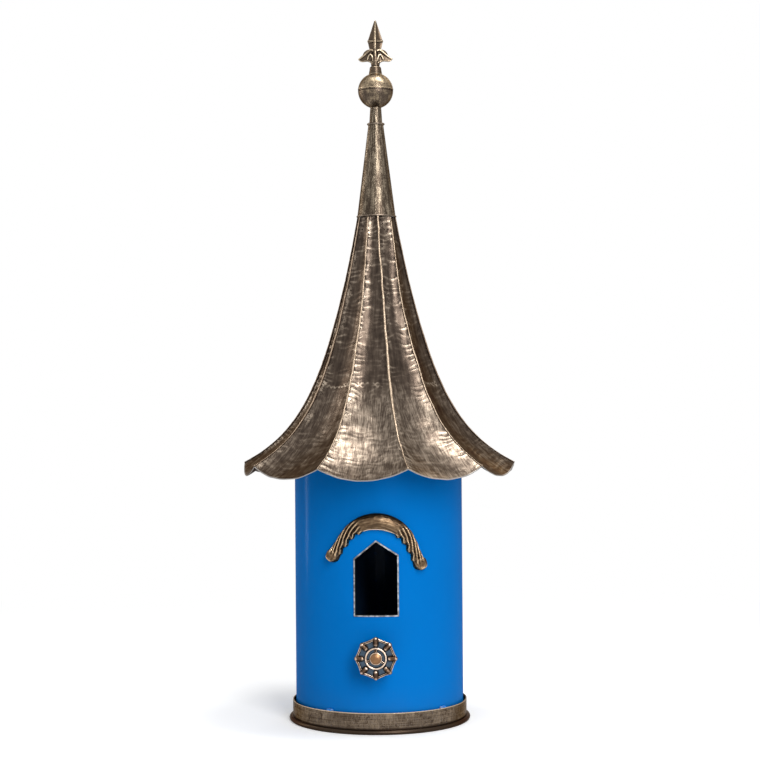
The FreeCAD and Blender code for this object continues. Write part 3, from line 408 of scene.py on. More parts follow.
def hammered(across, down, edge, number):
    """How far a place on a petal is beaten in, and how much of a crest it is from 0 to 1.

    The marks crowd along both seams of the petal EVEN_PETAL, and mostly along one seam of the others.
    A calm belt, low on the petal, was beaten less. Every petal has its own lane of the noise.
    """
    lane = number * LANE
    one_sided = 0.75 * soft(across, 0.0, 4.0) * (number != EVEN_PETAL)
    side = (1.0 - soft(edge, 5.0, 15.0)) * (1.0 - one_sided)
    calm = 1.0 - 0.7 * soft(down, CALM_START, CALM_FULL) * (1.0 - soft(down, CALM_LAST, CALM_END))
    cell = noise.voronoi(Vector((across / DENT_ACROSS, down / DENT_DOWN, lane)))[0][0]
    dents = (1.0 - soft(cell, 0.0, 0.75)) * DENT_DEPTH * side * calm
    swell = noise.noise(Vector((across / 15.0, down / 17.0, lane + 5.0))) * SWELL_DEPTH
    beat = 6.0 * noise.noise(Vector((across / 17.0, down / 20.0, lane)))
    gate = soft(noise.noise(Vector((across / 13.0, down / 11.0, lane))), -0.35, 0.25)
    waves = math.sin(down / WAVE_PITCH + beat + lane) * gate
    strength = (0.35 + 0.65 * side) * calm
    depth = (dents + swell + waves * WAVE_DEPTH * strength) * soft(edge, 0.0, 3.0)
    return depth, soft(-waves, 0.1, 0.95) * strength + 0.3 * soft(cell, 0.35, 0.85) * side


# %% Petals
DOWN_STEPS = 300
ACROSS_STEPS = 36


def petal_sheet(number):
    """One hammered petal, in metres, with its crests and its rim kept as attributes."""
    shape = bmesh.new()
    bmesh.ops.create_grid(shape, x_segments=ACROSS_STEPS, y_segments=DOWN_STEPS, size=1.0)
    rim = shape.verts.layers.float.new("rim")
    crest = shape.verts.layers.float.new("crest")
    rows = {}
    for vertex in shape.verts:
        share, place = vertex.co.x, round((1.0 - vertex.co.y) / 2, 5)
        if place not in rows:
            rows[place] = (PetalCut(place), seam_turn(number - 1, place), seam_turn(number, place))
        cut, left, right = rows[place]
        across = share * cut.half
        down = (ROOF_TOP - cut.height) + (cut.radius - ROOF_TOP_RADIUS) * OUT_SHARE
        depth, vertex[crest] = hammered(across, down, cut.half - abs(across), number)
        lean = Vector((-across / cut.bend, -cut.out.x, cut.out.y)).normalized()
        turn = Matrix.Rotation(left + (right - left) * (share + 1) / 2, 3, "Z")
        vertex.co = turn @ (cut.point(across) - lean * depth) * MM
        vertex[rim] = soft(place, 0.985, 1.0)
    turn = Matrix.Rotation(math.radians(FIRST_PETAL + 360.0 / PETALS * number), 4, "Z")
    bmesh.ops.transform(shape, matrix=turn, verts=shape.verts)
    # The cut edges stay sharp, so that the light on the faces doesn't bend round them.
    for side in shape.edges:
        side.smooth = not side.is_boundary
    bmesh.ops.recalc_face_normals(shape, faces=shape.faces)
    if sum(face.normal.z for face in shape.faces) < 0:
        bmesh.ops.reverse_faces(shape, faces=shape.faces)
    return shape


def piece_from(shape, name, replaced=()):
    """Turn a bmesh into a piece that rides on the birdhouse."""
    for face in shape.faces:
        face.smooth = True
    mesh = bpy.data.meshes.new(name)
    shape.to_mesh(mesh)
    shape.free()
    piece = bpy.data.objects.new(name, mesh)
    bpy.context.collection.objects.link(piece)
    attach(piece, "root")
    if replaced:
        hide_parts(*replaced)
    return piece


petals = []
for number in range(PETALS):
    name = f"roof_petal_{number + 1:02d}"
    petal = piece_from(petal_sheet(number), f"hammered_petal_{number + 1:02d}", [name])
    wall = petal.modifiers.new("sheet", "SOLIDIFY")
    wall.thickness = SHEET * MM
    wall.offset = -1.0
    petals.append(petal)
print("petals:", len(petals), "with", len(petals[0].data.vertices), "vertices each")

# %% [markdown]
# ## Standing seams
# Neighbouring petals meet in an upright seam that was folded, soldered and dressed with the hammer,
# so it runs in small waves and swells where solder gathered. A curve with a round bevel gives the
# bead, its points carry the waves and the swelling, and noise on the finished mesh adds the lumps.

# %% Round beads
BEAD_LUMP = 3.2


def finished_mesh(holder):
    """The mesh of an object after its modifiers or its curve's bevel, as a bmesh. The object goes."""
    bpy.context.collection.objects.link(holder)
    bpy.context.view_layer.update()
    ready = bpy.data.meshes.new_from_object(holder.evaluated_get(bpy.context.evaluated_depsgraph_get()))
    shape = bmesh.new()
    shape.from_mesh(ready)
    bpy.data.objects.remove(holder)
    bpy.data.meshes.remove(ready)
    bmesh.ops.remove_doubles(shape, verts=shape.verts, dist=0.01 * MM)
    bmesh.ops.recalc_face_normals(shape, faces=shape.faces)
    return shape


def roughen(shape, size, depth, seed=0.0):
    """Move the skin in and out by noise: lumps about size across and depth high, in millimetres."""
    for vertex in shape.verts:
        swell = noise.noise(vertex.co / (size * MM) + Vector((0.0, 0.0, seed)))
        vertex.co += vertex.normal * swell * depth * MM


def bead_shape(places, radii, closed=False, lump=0.0, seed=0.0):
    """A round bead through places in millimetres, with lumps on its skin."""
    line = bpy.data.curves.new("bead_line", "CURVE")
    line.dimensions = "3D"
    line.bevel_depth = MM
    line.bevel_resolution = 3
    line.use_fill_caps = not closed
    run = line.splines.new("NURBS")
    run.points.add(len(places) - 1)
    for knot, place, radius in zip(run.points, places, radii):
        knot.co = (*(Vector(place) * MM), 1.0)
        knot.radius = radius
    run.order_u = 3
    run.use_cyclic_u = closed
    run.use_endpoint_u = not closed
    run.resolution_u = 4
    shape = finished_mesh(bpy.data.objects.new("bead_line", line))
    bpy.data.curves.remove(line)
    roughen(shape, BEAD_LUMP, lump, seed)
    return shape


# %% Wobbly seams
SEAM_POINTS = 90
SEAM_SINK = 0.9
THICK_SEAM, THIN_SEAM = 0, 0.66


def seam_bead(number):
    """The bead on one seam: it swells over the roof's flank and thins out towards the rim."""
    azimuth = math.radians(FIRST_PETAL) + HALF_PETAL * (2 * number + 1)
    places, radii = [], []
    for index in range(SEAM_POINTS):
        place = index / (SEAM_POINTS - 1)
        crest, slope = roof_curve(place)
        middle = crest - Vector((-slope.y, slope.x)) * SEAM_SINK
        turn = Matrix.Rotation(azimuth + seam_turn(number, place), 3, "Z")
        places.append(turn @ Vector((0.0, -middle.x, middle.y)))
        swell = 1.0 + 0.22 * noise.noise(Vector((place * 38.0, number * 5.3, 4.0)))
        radius = 1.25 + 0.55 * soft(place, 0.1, 0.5) - 1.0 * soft(place, 0.55, 0.95)
        radii.append(radius * swell * (1.0 if number == THICK_SEAM else THIN_SEAM))
    return bead_shape(places, radii, lump=0.14, seed=number * 5.0)


seams = [piece_from(seam_bead(number), f"standing_seam_{number + 1:02d}")
         for number in range(PETALS)]
print("seams:", len(seams), "with", len(seams[0].data.vertices), "vertices each")

# %% [markdown]
# ## Bronze of the roof
# The sheet was browned all over and then rubbed bright on whatever stands proud. We describe a place
# on the roof by the petal it is on, how far it is across that petal, how far it is from the seam, and
# how far down it is. Rubbing and scratches are drawn in these directions, so they turn with each petal.
# The two petals over the entrance are painted brighter than the others low down, a painted highlight.

# %% Where a place lies on a turned shape
def round_the_axis(finish):
    """Turn in radians, distance from the axis, and height of a place."""
    x, y, z = finish.split(finish.place)
    return x.math("ARCTAN2", 0.0 - y), (x * x + y * y) ** 0.5, z


def facing(finish):
    """How much a face looks away from the axis, and how much it looks up."""
    x, y, _ = finish.split(finish.place)
    normal_x, normal_y, normal_z = finish.split(finish.node("TexCoord", output="Normal"))
    return (normal_x * x + normal_y * y) / ((x * x + y * y) ** 0.5), normal_z


# %% Belt of hammered crosses
BELT_DOWN, BELT_SWING, BELT_STEP = 228.0, 2.8, 1.9


def belt_of_crosses(finish, here, across, down):
    """Two rows of waves that cross each other round the roof, broken here and there."""
    swing = (across / BELT_STEP).math("SINE") * BELT_SWING
    off = (finish.noise(here, 9.0, 1.0) - 0.5) * 4.0 + down - BELT_DOWN
    cross = abs(off - swing).math("MINIMUM", abs(off + swing))
    return (1.0 - finish.ease(cross, 0.2, 2.4)) * finish.patches(here, 14.0, 1.0, 0.5, 0.40, 0.60)


# %% Finish of the petals
DEGREES = 180 / math.pi
LOWER_FLARE_START, LOWER_FLARE_FULL = 215.0, 260.0
FINISH_LANE = 37.0
BRONZE_METAL = 0.94

DARK = rgb(42, 35, 31)
BROWN = rgb(82, 71, 62)
CHAMPAGNE = rgb(170, 155, 138)
CUT_EDGE = rgb(150, 148, 146)
WORN_EDGE = {"Specular Tint": (0.42, 0.36, 0.31, 1.0)}


def petal_finish():
    """Browned sheet worn bright on crests and seams; painted highlight low, most over the entrance."""
    finish = Finish("hammered_bronze")
    azimuth, radius, z = round_the_axis(finish)
    count = (azimuth * DEGREES - FIRST_PETAL) / (360 / PETALS) + 0.5
    share = count.math("FRACT") - 0.5
    lane = count.math("FLOOR") * FINISH_LANE
    across = share * radius * (2 * HALF_PETAL)
    seam = (0.5 - abs(share)) * radius * (2 * HALF_PETAL)
    down = (ROOF_TOP - z) + (radius - ROOF_TOP_RADIUS) * OUT_SHARE
    here = finish.join(across, down, lane)

    brush = finish.noise(finish.join(across / 0.75, down / 15.0, lane), 1.0, 3.0, 0.65)
    broad = finish.noise(finish.join(across / 4.0, down / 42.0, lane), 1.0, 2.0, 0.6)
    cloud = finish.noise(here, 13.0, 3.0, 0.6)
    planish = finish.cells(finish.join(across / 3.4, down / 2.7, lane), 1.0, 0.3)
    # Bright along the seams as wear, kept mostly to each petal's left seam: the darker right side is
    # painted shade, where the hollow petal turns away from the lamps.
    near = (1.0 - finish.ease(seam, 4.0, 10.0)) * (1.0 - finish.ease(across, 0.0, 4.0) * 0.7)
    gate = finish.patches(finish.join(lane, down / 30.0, share * 3.0), 1.0, 1.0, 0.5, 0.46, 0.60)
    pits = (1.0 - finish.ease(abs(planish - 0.34), 0.04, 0.13)) * near * gate
    belt = belt_of_crosses(finish, here, across, down)
    low = finish.ease(down, LOWER_FLARE_START, LOWER_FLARE_FULL)
    # Across the two petals over the entrance, count runs from 0 to 2. Low down, these two petals are
    # painted brighter than the rest, and the brush streaks brighten on every petal: real brushing that
    # also paints a highlight.
    front_petals_sheen = low * (1.0 - finish.ease(abs(count - 1.0), 1.0, 1.02))
    streaks = finish.ease(brush, 0.36, 0.68) * (0.06 + low * 0.14 + front_petals_sheen * 0.05)
    brightness = (0.12 + front_petals_sheen * 0.09 + streaks + finish.ease(broad, 0.36, 0.64) * 0.12
              + finish.ease(cloud, 0.36, 0.64) * 0.12 + finish.kept("crest") * 0.27
              + near * gate * 0.18 + belt * 0.30 - pits * 0.45)

    out, up = facing(finish)
    inside = 1.0 - finish.ease(out + up, -0.35, -0.10)
    edge = finish.ease(finish.kept("rim"), 0.86, 0.97)
    brightness = (brightness + edge * 0.5) * (1.0 - inside * (1.0 - edge) * 0.8)

    tint = finish.mix(finish.ease(brightness, 0.0, 0.45), DARK, BROWN)
    tint = finish.mix(finish.ease(brightness, 0.30, 0.85), tint, CHAMPAGNE)
    tint = finish.mix(edge, tint, CUT_EDGE)
    roughness = 0.34 - brightness * 0.06 + (brush - 0.5) * 0.12 + inside * 0.2
    height = planish * 0.04 + brush * 0.035 + broad * 0.10 + belt * 0.05 - pits * 0.12
    height = height * (1.0 - inside * 0.7)
    return finish.surface(tint, roughness, BRONZE_METAL, finish.bump(height), **WORN_EDGE)


# %% Finish of the seams
def seam_finish():
    """Dressed solder: bright on top where the file went, dark at the foot."""
    finish = Finish("seam_bronze")
    out, up = facing(finish)
    proud = finish.ease(out + abs(up) * 0.4, 0.25, 0.95)
    stain = finish.noise(finish.place, 5.0, 3.0, 0.6)
    fine = finish.noise(finish.place, 0.8, 2.0, 0.6)
    brightness = proud * (0.55 + finish.ease(stain, 0.35, 0.65) * 0.45)
    tint = finish.mix(finish.ease(brightness, 0.0, 0.35), rgb(84, 70, 60), rgb(128, 110, 92))
    tint = finish.mix(finish.ease(brightness, 0.30, 0.9), tint, rgb(184, 164, 142))
    height = fine * 0.04 + stain * 0.1
    return finish.surface(tint, 0.46 - brightness * 0.10, 0.75, finish.bump(height), **WORN_EDGE)


roof_bronze = petal_finish()
for petal in petals:
    petal.data.materials.append(roof_bronze)
seam_bronze = seam_finish()
for seam in seams:
    seam.data.materials.append(seam_bronze)
print("roof dressed:", len(petals + seams), "pieces")

# %% [markdown]
# ## Painted drum
# Rolled steel, sprayed a strong blue and left satin. The paint lies thick and a little uneven, so a
# highlight down its side breaks up softly. Inside, only overspray reached the sheet. The gloss comes
# from a thin clear coat, while the colour under it is left matt: that keeps the white room from making
# the drum's edges pale. At the back the lap is spot-welded, which leaves a row of painted dimples.

# %% Spot welds along the lap
DRUM_RADIUS = 100.0
WELD_AZIMUTH, WELD_PITCH = -175.5, 34.0
WELD_FLAT, WELD_RIM = 1.2, 3.2


def spot_welds(finish, turn, z):
    """1 in the dimples that the welder's tips left and 0 elsewhere. The turn is in degrees."""
    aside = (turn - WELD_AZIMUTH) * math.radians(DRUM_RADIUS)
    along = ((z / WELD_PITCH).math("FRACT") - 0.5) * WELD_PITCH
    reach = finish.node("VectorMath", {"operation": "LENGTH"}, {0: finish.join(aside, along)}, output=1)
    return 1.0 - finish.ease(reach, WELD_FLAT, WELD_RIM)


# %% Finish of the drum
BLUE = rgb(0, 116, 200)
SATIN = {"Specular IOR Level": 0.0, "Coat Weight": 0.06, "Coat Roughness": 0.16}


def drum_finish():
    """Satin blue outside, with dust near the foot, and overspray inside."""
    finish = Finish("blue_paint")
    azimuth, radius, z = round_the_axis(finish)
    turn = azimuth * DEGREES
    inside = 1.0 - finish.ease(radius, DRUM_RADIUS - 0.9, DRUM_RADIUS - 0.3)
    peel = finish.noise(finish.place, 1.6, 2.0, 0.5)
    rolled = finish.noise(finish.join(turn / 9.0, z / 260.0, radius / 20.0), 1.0, 2.0, 0.5)
    haze = finish.noise(finish.place, 34.0, 3.0, 0.6)
    specks = finish.patches(finish.place, 2.2, 2.0, 0.7, 0.70, 0.80)
    dust = (1.0 - finish.ease(z, 24.0, 60.0)) * 0.25
    dimple = spot_welds(finish, turn, z)
    tint = finish.mix(haze * 0.35, BLUE, rgb(0, 104, 188))
    tint = finish.mix(specks * 0.06, tint, rgb(150, 190, 225))
    tint = finish.mix(dust * haze, tint, rgb(50, 110, 170))
    tint = finish.mix(inside, tint, rgb(44, 74, 110))
    # The dimples are also painted a deeper blue: painted shade in them.
    tint = finish.mix(dimple * 0.4, tint, rgb(0, 78, 150))
    roughness = 0.24 + haze * 0.08 + specks * 0.1 + inside * 0.3
    height = peel * 0.008 + rolled * 0.25 - dimple * 0.35
    return finish.surface(tint, roughness, 0.0, finish.bump(height), **SATIN)


dress(drum_finish(), "body_shell")
print("drum painted")

# %% [markdown]
# ## Castings
# The finial, the leaf arch and the handwheel are small castings: no edge is sharp, hollows hold a
# dark patina and ridges are worn bright. Their solids are melted into an even skin with a voxel
# remesh, which rounds the edges as sand casting does and leaves enough vertices to carve.

# %% Melt a solid into a casting
def cad_copy(name):
    """The merged mesh of a solid."""
    shape = bmesh.new()
    shape.from_mesh(nodes[name].data)
    bmesh.ops.remove_doubles(shape, verts=shape.verts, dist=0.002 * MM)
    return shape


def soften(shape, rounds):
    """Move every vertex towards its neighbours, some rounds over."""
    for _ in range(rounds):
        bmesh.ops.smooth_vert(shape, verts=shape.verts, factor=0.5,
                              use_axis_x=True, use_axis_y=True, use_axis_z=True)


def recast(shapes, grain, rounds):
    """One skin of even faces, grain millimetres wide, round closed shapes, with softened edges."""
    whole = bmesh.new()
    for shape in shapes:
        part = bpy.data.meshes.new("part")
        shape.to_mesh(part)
        shape.free()
        whole.from_mesh(part)
        bpy.data.meshes.remove(part)
    mesh = bpy.data.meshes.new("melt")
    whole.to_mesh(mesh)
    whole.free()
    melt = bpy.data.objects.new("melt", mesh)
    skin = melt.modifiers.new("skin", "REMESH")
    skin.mode = "VOXEL"
    skin.voxel_size = grain * MM
    shape = finished_mesh(melt)
    soften(shape, rounds)
    shape.normal_update()
    return shape


# %% What stands proud
PROUD_ROUNDS = 7


def keep_proud(shape):
    """Keep as an attribute how far each place stands out of its softened surroundings, in millimetres."""
    layer = shape.verts.layers.float.new("proud")
    shape.normal_update()
    kept = [(vertex, vertex.co.copy(), vertex.normal.copy()) for vertex in shape.verts]
    soften(shape, PROUD_ROUNDS)
    for vertex, place, normal in kept:
        vertex[layer] = (place - vertex.co).dot(normal) / MM
        vertex.co = place
    return shape


# %% Finial
LEAF_THICK, LEAF_TIP, LEAF_REACH = 4.8, 1.1, 20.9
LEAF_LOW, LEAF_HIGH, LEAF_THIN = 786.0, 802.0, 0.62
STEM_SIDE, LEAF_SIDE = 1.5, 4.0
CURL_SINK = 0.4
FINIAL_GRAIN = 0.36
OUTER_CURL = [(0.8, 799.0, 1.3), (5.0, 800.9, 1.7), (9.5, 798.0, 1.7), (14.0, 793.6, 1.4),
              (20.0, 789.6, 0.9)]
INNER_CURL = [(2.6, 787.0, 1.0), (3.2, 793.0, 1.3), (6.0, 795.4, 1.4), (8.6, 792.6, 1.2),
              (9.6, 788.6, 0.9)]
STEM_RIB = [(0.0, 783.0, 1.0), (0.0, 794.0, 1.7), (0.0, 803.0, 1.9)]
SPEAR_RIB = [(0.0, 801.0, 5.5, 1.0), (0.0, 811.0, 7.4, 1.3), (0.0, 822.0, 4.4, 0.9), (0.0, 835.0, 1.0, 0.5)]


def curl(knots, side, face):
    """A rolled rib on the front or the back of a leaf."""
    def out(x):
        return face * (LEAF_THICK + (LEAF_TIP - LEAF_THICK) * x / LEAF_REACH - CURL_SINK)
    return bead_shape([(side * x, out(x), z) for x, z, _ in knots], [radius for *_, radius in knots])


def spear_rib(face):
    """The rib up the front or the back of the spear."""
    return bead_shape([(x, face * y, z) for x, z, y, _ in SPEAR_RIB], [radius for *_, radius in SPEAR_RIB])


core = cad_copy("finial_spear")
for vertex in core.verts:
    place = vertex.co / MM
    in_leaf = soft(abs(place.x), STEM_SIDE, LEAF_SIDE) * soft(place.z, LEAF_LOW - 1, LEAF_LOW)
    in_leaf *= soft(-place.z, -LEAF_HIGH, 1 - LEAF_HIGH)
    vertex.co.y *= 1.0 - (1.0 - LEAF_THIN) * in_leaf
parts = [core]
for face in (-1, 1):
    for side in (-1, 1):
        parts += [curl(OUTER_CURL, side, face), curl(INNER_CURL, side, face)]
    parts += [curl(STEM_RIB, 1, face), spear_rib(face)]
finial_shape = keep_proud(recast(parts, FINIAL_GRAIN, rounds=1))
finial = piece_from(finial_shape, "spear_finial", ["finial_spear"])
print("finial:", len(finial.data.polygons), "faces")

# %% [markdown]
# ## Leaf arch
# A band of leaves lies over the entrance and curls up at both ends. A carver would cut such leaves
# along the band, so we do the same. We describe each vertex by how far it is along the arch and across
# it, and a few smooth ridges and valleys in these two numbers say how far it moves out of the solid.

# %% Along and across the arch
ARCH_CROWN = 243.0
ARCH_SHIFT = 4.5
ARCH_RADIUS, ARCH_BEND, ARCH_LEG = 44.5, math.radians(60.0), 33.5
ARCH_LEAN = math.radians(5.4)
ARCH_WIDTH, ARCH_NECK, SCROLL = 19.4, 12.6, 8.3


def arch_place(point):
    """How far a point is along the arch from its crown, and across it from -1, inside, to 1."""
    flat = Vector((math.atan2(point.x, -point.y) * DRUM_RADIUS - ARCH_SHIFT, point.z - ARCH_CROWN))
    flat = Matrix.Rotation(ARCH_LEAN, 2) @ flat
    side = math.copysign(1.0, flat.x)
    flat.x = abs(flat.x)
    half_length = ARCH_BEND * ARCH_RADIUS + ARCH_LEG
    turn = math.atan2(flat.x, flat.y + ARCH_RADIUS)
    if turn < ARCH_BEND:
        run, reach = turn * ARCH_RADIUS, math.hypot(flat.x, flat.y + ARCH_RADIUS) - ARCH_RADIUS
    else:
        along = Vector((math.cos(ARCH_BEND), -math.sin(ARCH_BEND)))
        away = Vector((math.sin(ARCH_BEND), math.cos(ARCH_BEND)))
        corner = away * ARCH_RADIUS - Vector((0.0, ARCH_RADIUS))
        run, reach = ARCH_BEND * ARCH_RADIUS + (flat - corner).dot(along), (flat - corner).dot(away)
    width = ARCH_WIDTH + (ARCH_NECK - ARCH_WIDTH) * soft(run, 0.0, half_length - 2 * SCROLL)
    return side * run, reach / (width / 2), half_length - run


# %% Carved leaves
LEAF_START, LEAF_PITCH, LEAF_DRIFT = 19.0, 12.0, 1.75
LEAF_RIDGE, LEAF_VALLEY = 0.40, 0.55
SCROLL_END, SCROLL_START = 13.0, 16.0


def peak(value, middle, width):
    """A smooth ridge, 1 high where value is middle."""
    return math.exp(-((value - middle) / width) ** 2)


def carving(run, across, left):
    """How far the leaves, the crown's lips and the scrolls stand out, in millimetres."""
    leafy = soft(abs(run), LEAF_START, LEAF_START + LEAF_PITCH)
    finger = (LEAF_DRIFT * across + (abs(run) - LEAF_START) / LEAF_PITCH) % 1.0
    leaves = LEAF_RIDGE * peak(min(finger, 1.0 - finger), 0.0, 0.13) - LEAF_VALLEY * peak(finger, 0.5, 0.12)
    lips = peak(across, -0.86, 0.08) * 1.7 + peak(across, 0.86, 0.09) * 0.6
    reach = math.hypot(left - SCROLL, across * ARCH_NECK / 2) / SCROLL
    dish = 0.5 * peak(reach, 0.72, 0.16) - (1.0 - soft(reach, 0.2, 0.6))
    relief = leafy * soft(left, SCROLL, 2 * SCROLL) * leaves + (1.0 - leafy) * 0.45 * lips
    return relief + (1.0 - soft(left, SCROLL_END, SCROLL_START)) * dish


# %% Carve the arch
ARCH_GRAIN = 0.42
ARCH_WEAR, WEAR_SIZE = 0.22, 4.0

arch_shape = recast([cad_copy("door_arch")], ARCH_GRAIN, rounds=1)
run_layer = arch_shape.verts.layers.float.new("run")
across_layer = arch_shape.verts.layers.float.new("across")
carved = []
for vertex in arch_shape.verts:
    run, across, left = arch_place(vertex.co / MM)
    vertex[run_layer], vertex[across_layer] = run, across
    outward = Vector((vertex.co.x, vertex.co.y, 0.0)).normalized()
    front = soft(vertex.normal.dot(outward), 0.1, 0.6)
    wear = noise.noise(vertex.co / (WEAR_SIZE * MM)) * ARCH_WEAR
    carved.append((vertex, vertex.normal * front * (carving(run, across, left) + wear)))
for vertex, shift in carved:
    vertex.co += shift * MM
arch = piece_from(keep_proud(arch_shape), "leaf_arch", ["door_arch"])
print("arch:", len(arch.data.polygons), "faces")

# %% Handwheel
WHEEL_GRAIN = 0.36

wheel_shape = recast([cad_copy("perch_wheel")], WHEEL_GRAIN, rounds=2)
roughen(wheel_shape, size=3.4, depth=0.12)
wheel = piece_from(keep_proud(wheel_shape), "handwheel", ["perch_wheel"])
print("handwheel:", len(wheel.data.polygons), "faces")

# %% [markdown]
# ## Welds
# Four drops of weld metal hold the band to the drum, and a thin bead runs round the ball where its
# halves meet. Molten metal draws itself round and stops unevenly, so the drops are melted and softened
# more than the castings, with deeper lumps, and the bead rises and falls a little on its way round.

# %% Weld tacks on the foot band
TACK_GRAIN = 0.34

tack_shape = recast([cad_copy("base_tacks")], TACK_GRAIN, rounds=6)
roughen(tack_shape, size=1.8, depth=0.45)
tacks = piece_from(tack_shape, "weld_tacks", ["base_tacks"])
print("tacks:", len(tacks.data.polygons), "faces")

# %% Weld bead round the ball
BALL_SEAM, BALL_SEAM_RADIUS, BEAD_KNOTS = 753.8, 20.95, 64

places, radii = [], []
for index in range(BEAD_KNOTS):
    turn = 2 * math.pi * index / BEAD_KNOTS
    rise = noise.noise(Vector((math.cos(turn) * 2.0, math.sin(turn) * 2.0, 3.0))) * 0.5
    places.append((BALL_SEAM_RADIUS * math.sin(turn), -BALL_SEAM_RADIUS * math.cos(turn), BALL_SEAM + rise))
    radii.append(0.45 + 0.18 * noise.noise(Vector((math.cos(turn) * 5.0, math.sin(turn) * 5.0, 7.0))))
bead = piece_from(bead_shape(places, radii, closed=True, lump=0.06), "ball_weld")
print("weld bead:", len(bead.data.polygons), "faces")

# %% [markdown]
# ## Brushed and cast bronze
# All the other bronze shares one recipe: dark patina below, bright metal where a hand, a brush or a
# belt reached. What differs is the direction of the brushing and where the bright places are. So one
# function takes those as arguments and the finishes stay short.

# %% A recipe for bronze
def bronze(finish, brightness, height, rough, mid=BROWN, bright=CHAMPAGNE):
    """Close a bronze: dark where rubbed is 0 and bright where it is 1."""
    tint = finish.mix(finish.ease(brightness, 0.0, 0.5), DARK, mid)
    tint = finish.mix(finish.ease(brightness, 0.4, 1.0), tint, bright)
    return finish.surface(tint, rough - brightness * 0.16, BRONZE_METAL, finish.bump(height), **WORN_EDGE)


# %% Foot
ROLL_TOP, BAND_FOOT = 5.0, 8.0
BAND_FACE, BAND_TOP = 23.3, 24.2


def foot_finish():
    """Brushed round the foot: a painted highlight on the band's top edge, and darker on the roll."""
    finish = Finish("brushed_foot")
    azimuth, radius, z = round_the_axis(finish)
    lines = finish.patches(finish.join(azimuth * 2.0, z / 0.55, radius / 0.55), 1.0, 2.0, 0.6, 0.30, 0.70)
    streak = finish.patches(finish.join(azimuth * 70.0, z / 6.0, radius / 9.0), 1.0, 3.0, 0.6, 0.35, 0.65)
    cloud = finish.noise(finish.join(azimuth * 5.0, z / 30.0, radius / 30.0), 1.0, 3.0, 0.6)
    stain = finish.patches(finish.place, 6.0, 3.0, 0.7, 0.54, 0.70)
    corner = finish.ease(z, ROLL_TOP, BAND_FOOT) * 0.4 + 0.6
    # A painted highlight along the band's top edge.
    top = finish.ease(z, BAND_FACE, BAND_TOP)
    brightness = (0.26 + lines * 0.14 + streak * 0.07 + cloud * 0.36 + top * 0.8) * corner
    brightness = brightness * (1.0 - stain * 0.25)
    height = lines * 0.04 + streak * 0.03 + cloud * 0.08
    return bronze(finish, brightness, height, rough=0.36, mid=rgb(66, 54, 44), bright=rgb(190, 170, 146))


dress(foot_finish(), "floor_plate", "base_band")


# %% Spire
def spire_finish():
    """Brushed lengthwise, so the cone's light is one narrow streak."""
    finish = Finish("brushed_spire")
    azimuth, radius, z = round_the_axis(finish)
    lines = finish.patches(finish.join(azimuth * 36.0, z / 30.0, radius / 20.0), 1.0, 4.0, 0.7, 0.30, 0.70)
    cloud = finish.patches(finish.join(azimuth * 4.0, z / 22.0, radius / 10.0), 1.0, 3.0, 0.6, 0.36, 0.64)
    grain = finish.noise(finish.place, 1.6, 3.0, 0.6)
    brightness = 0.18 + lines * 0.34 + cloud * 0.14 + finish.ease(grain, 0.35, 0.65) * 0.12
    height = lines * 0.04 + cloud * 0.06 + grain * 0.06
    return bronze(finish, brightness, height, rough=0.33, mid=rgb(66, 56, 47), bright=rgb(222, 204, 177))


def wire_finish():
    """Drawn wire with a few stains."""
    finish = Finish("drawn_wire")
    stain = finish.noise(finish.place, 4.0, 3.0, 0.6)
    return bronze(finish, 0.25 + stain * 0.7, stain * 0.1, rough=0.40)


dress(spire_finish(), "spire_cone", "neck_cone")
dress(wire_finish(), "spire_ring", "neck_ring")

# %% Ball
BALL_PITS, BALL_SHADE = BALL_SEAM - 1.2, BALL_SEAM - 2.3
BALL_DULL, BALL_BRIGHT = 746.0, 764.0


def ball_finish():
    """A little brighter above its seam, painted highlight, with pits and painted shade under the bead."""
    finish = Finish("ball_bronze")
    azimuth, radius, z = round_the_axis(finish)
    lines = finish.patches(finish.join(azimuth * 8.0, z / 18.0, radius / 8.0), 1.0, 4.0, 0.65, 0.32, 0.68)
    cloud = finish.patches(finish.place, 7.0, 2.0, 0.5, 0.36, 0.66)
    grain = finish.patches(finish.place, 1.4, 3.0, 0.6, 0.35, 0.65)
    pits = finish.patches(finish.place, 1.9, 2.0, 0.6, 0.56, 0.62)
    seam = 1.0 - finish.ease(abs(z - BALL_PITS), 0.6, 1.6)
    # A dark line just under the bead: painted shade.
    under = 1.0 - finish.ease(abs(z - BALL_SHADE), 0.3, 1.0)
    # Brighter towards the top: a painted highlight.
    high = finish.ease(z, BALL_DULL, BALL_BRIGHT) * 0.16
    brightness = (0.24 + high + lines * 0.14 + grain * 0.20 + cloud * 0.16) * (1.0 - pits * seam)
    brightness = brightness * (1.0 - under * 0.6)
    height = grain * 0.04 + cloud * 0.05 - pits * seam * 0.5
    return bronze(finish, brightness, height, rough=0.40, bright=rgb(188, 168, 138))


dress(ball_finish(), "ball_lower", "ball_upper")
print("foot, spire and ball dressed")


# %% Tacks, finial, bead and bolt
def tack_finish():
    """Weld metal that the paint only half covers."""
    finish = Finish("painted_tack")
    bare = finish.patches(finish.place, 2.2, 3.0, 0.6, 0.48, 0.60)
    tint = finish.mix(bare, BLUE, rgb(150, 160, 170))
    return finish.surface(tint, 0.5 - bare * 0.15, bare * 0.8, finish.bump(bare * 0.15))


def cast_finish(name, size, mid, bright, grooves=0.5, base=0.2):
    """A casting: worn edges light, hollows dark, with the grain of the sand it was cast in."""
    finish = Finish(name)
    proud = finish.kept("proud")
    worn = finish.ease(proud, 0.015, 0.10)
    hollow = 1.0 - finish.ease(proud, -0.07, 0.0)
    grain = finish.noise(finish.place, 0.5, 2.0, 0.6)
    cloud = finish.noise(finish.place, size, 3.0, 0.6)
    brightness = (base + cloud * 0.30 + worn * 0.75) * (1.0 - hollow * grooves)
    return bronze(finish, brightness, grain * 0.05 + cloud * 0.2, rough=0.36, mid=mid, bright=bright)


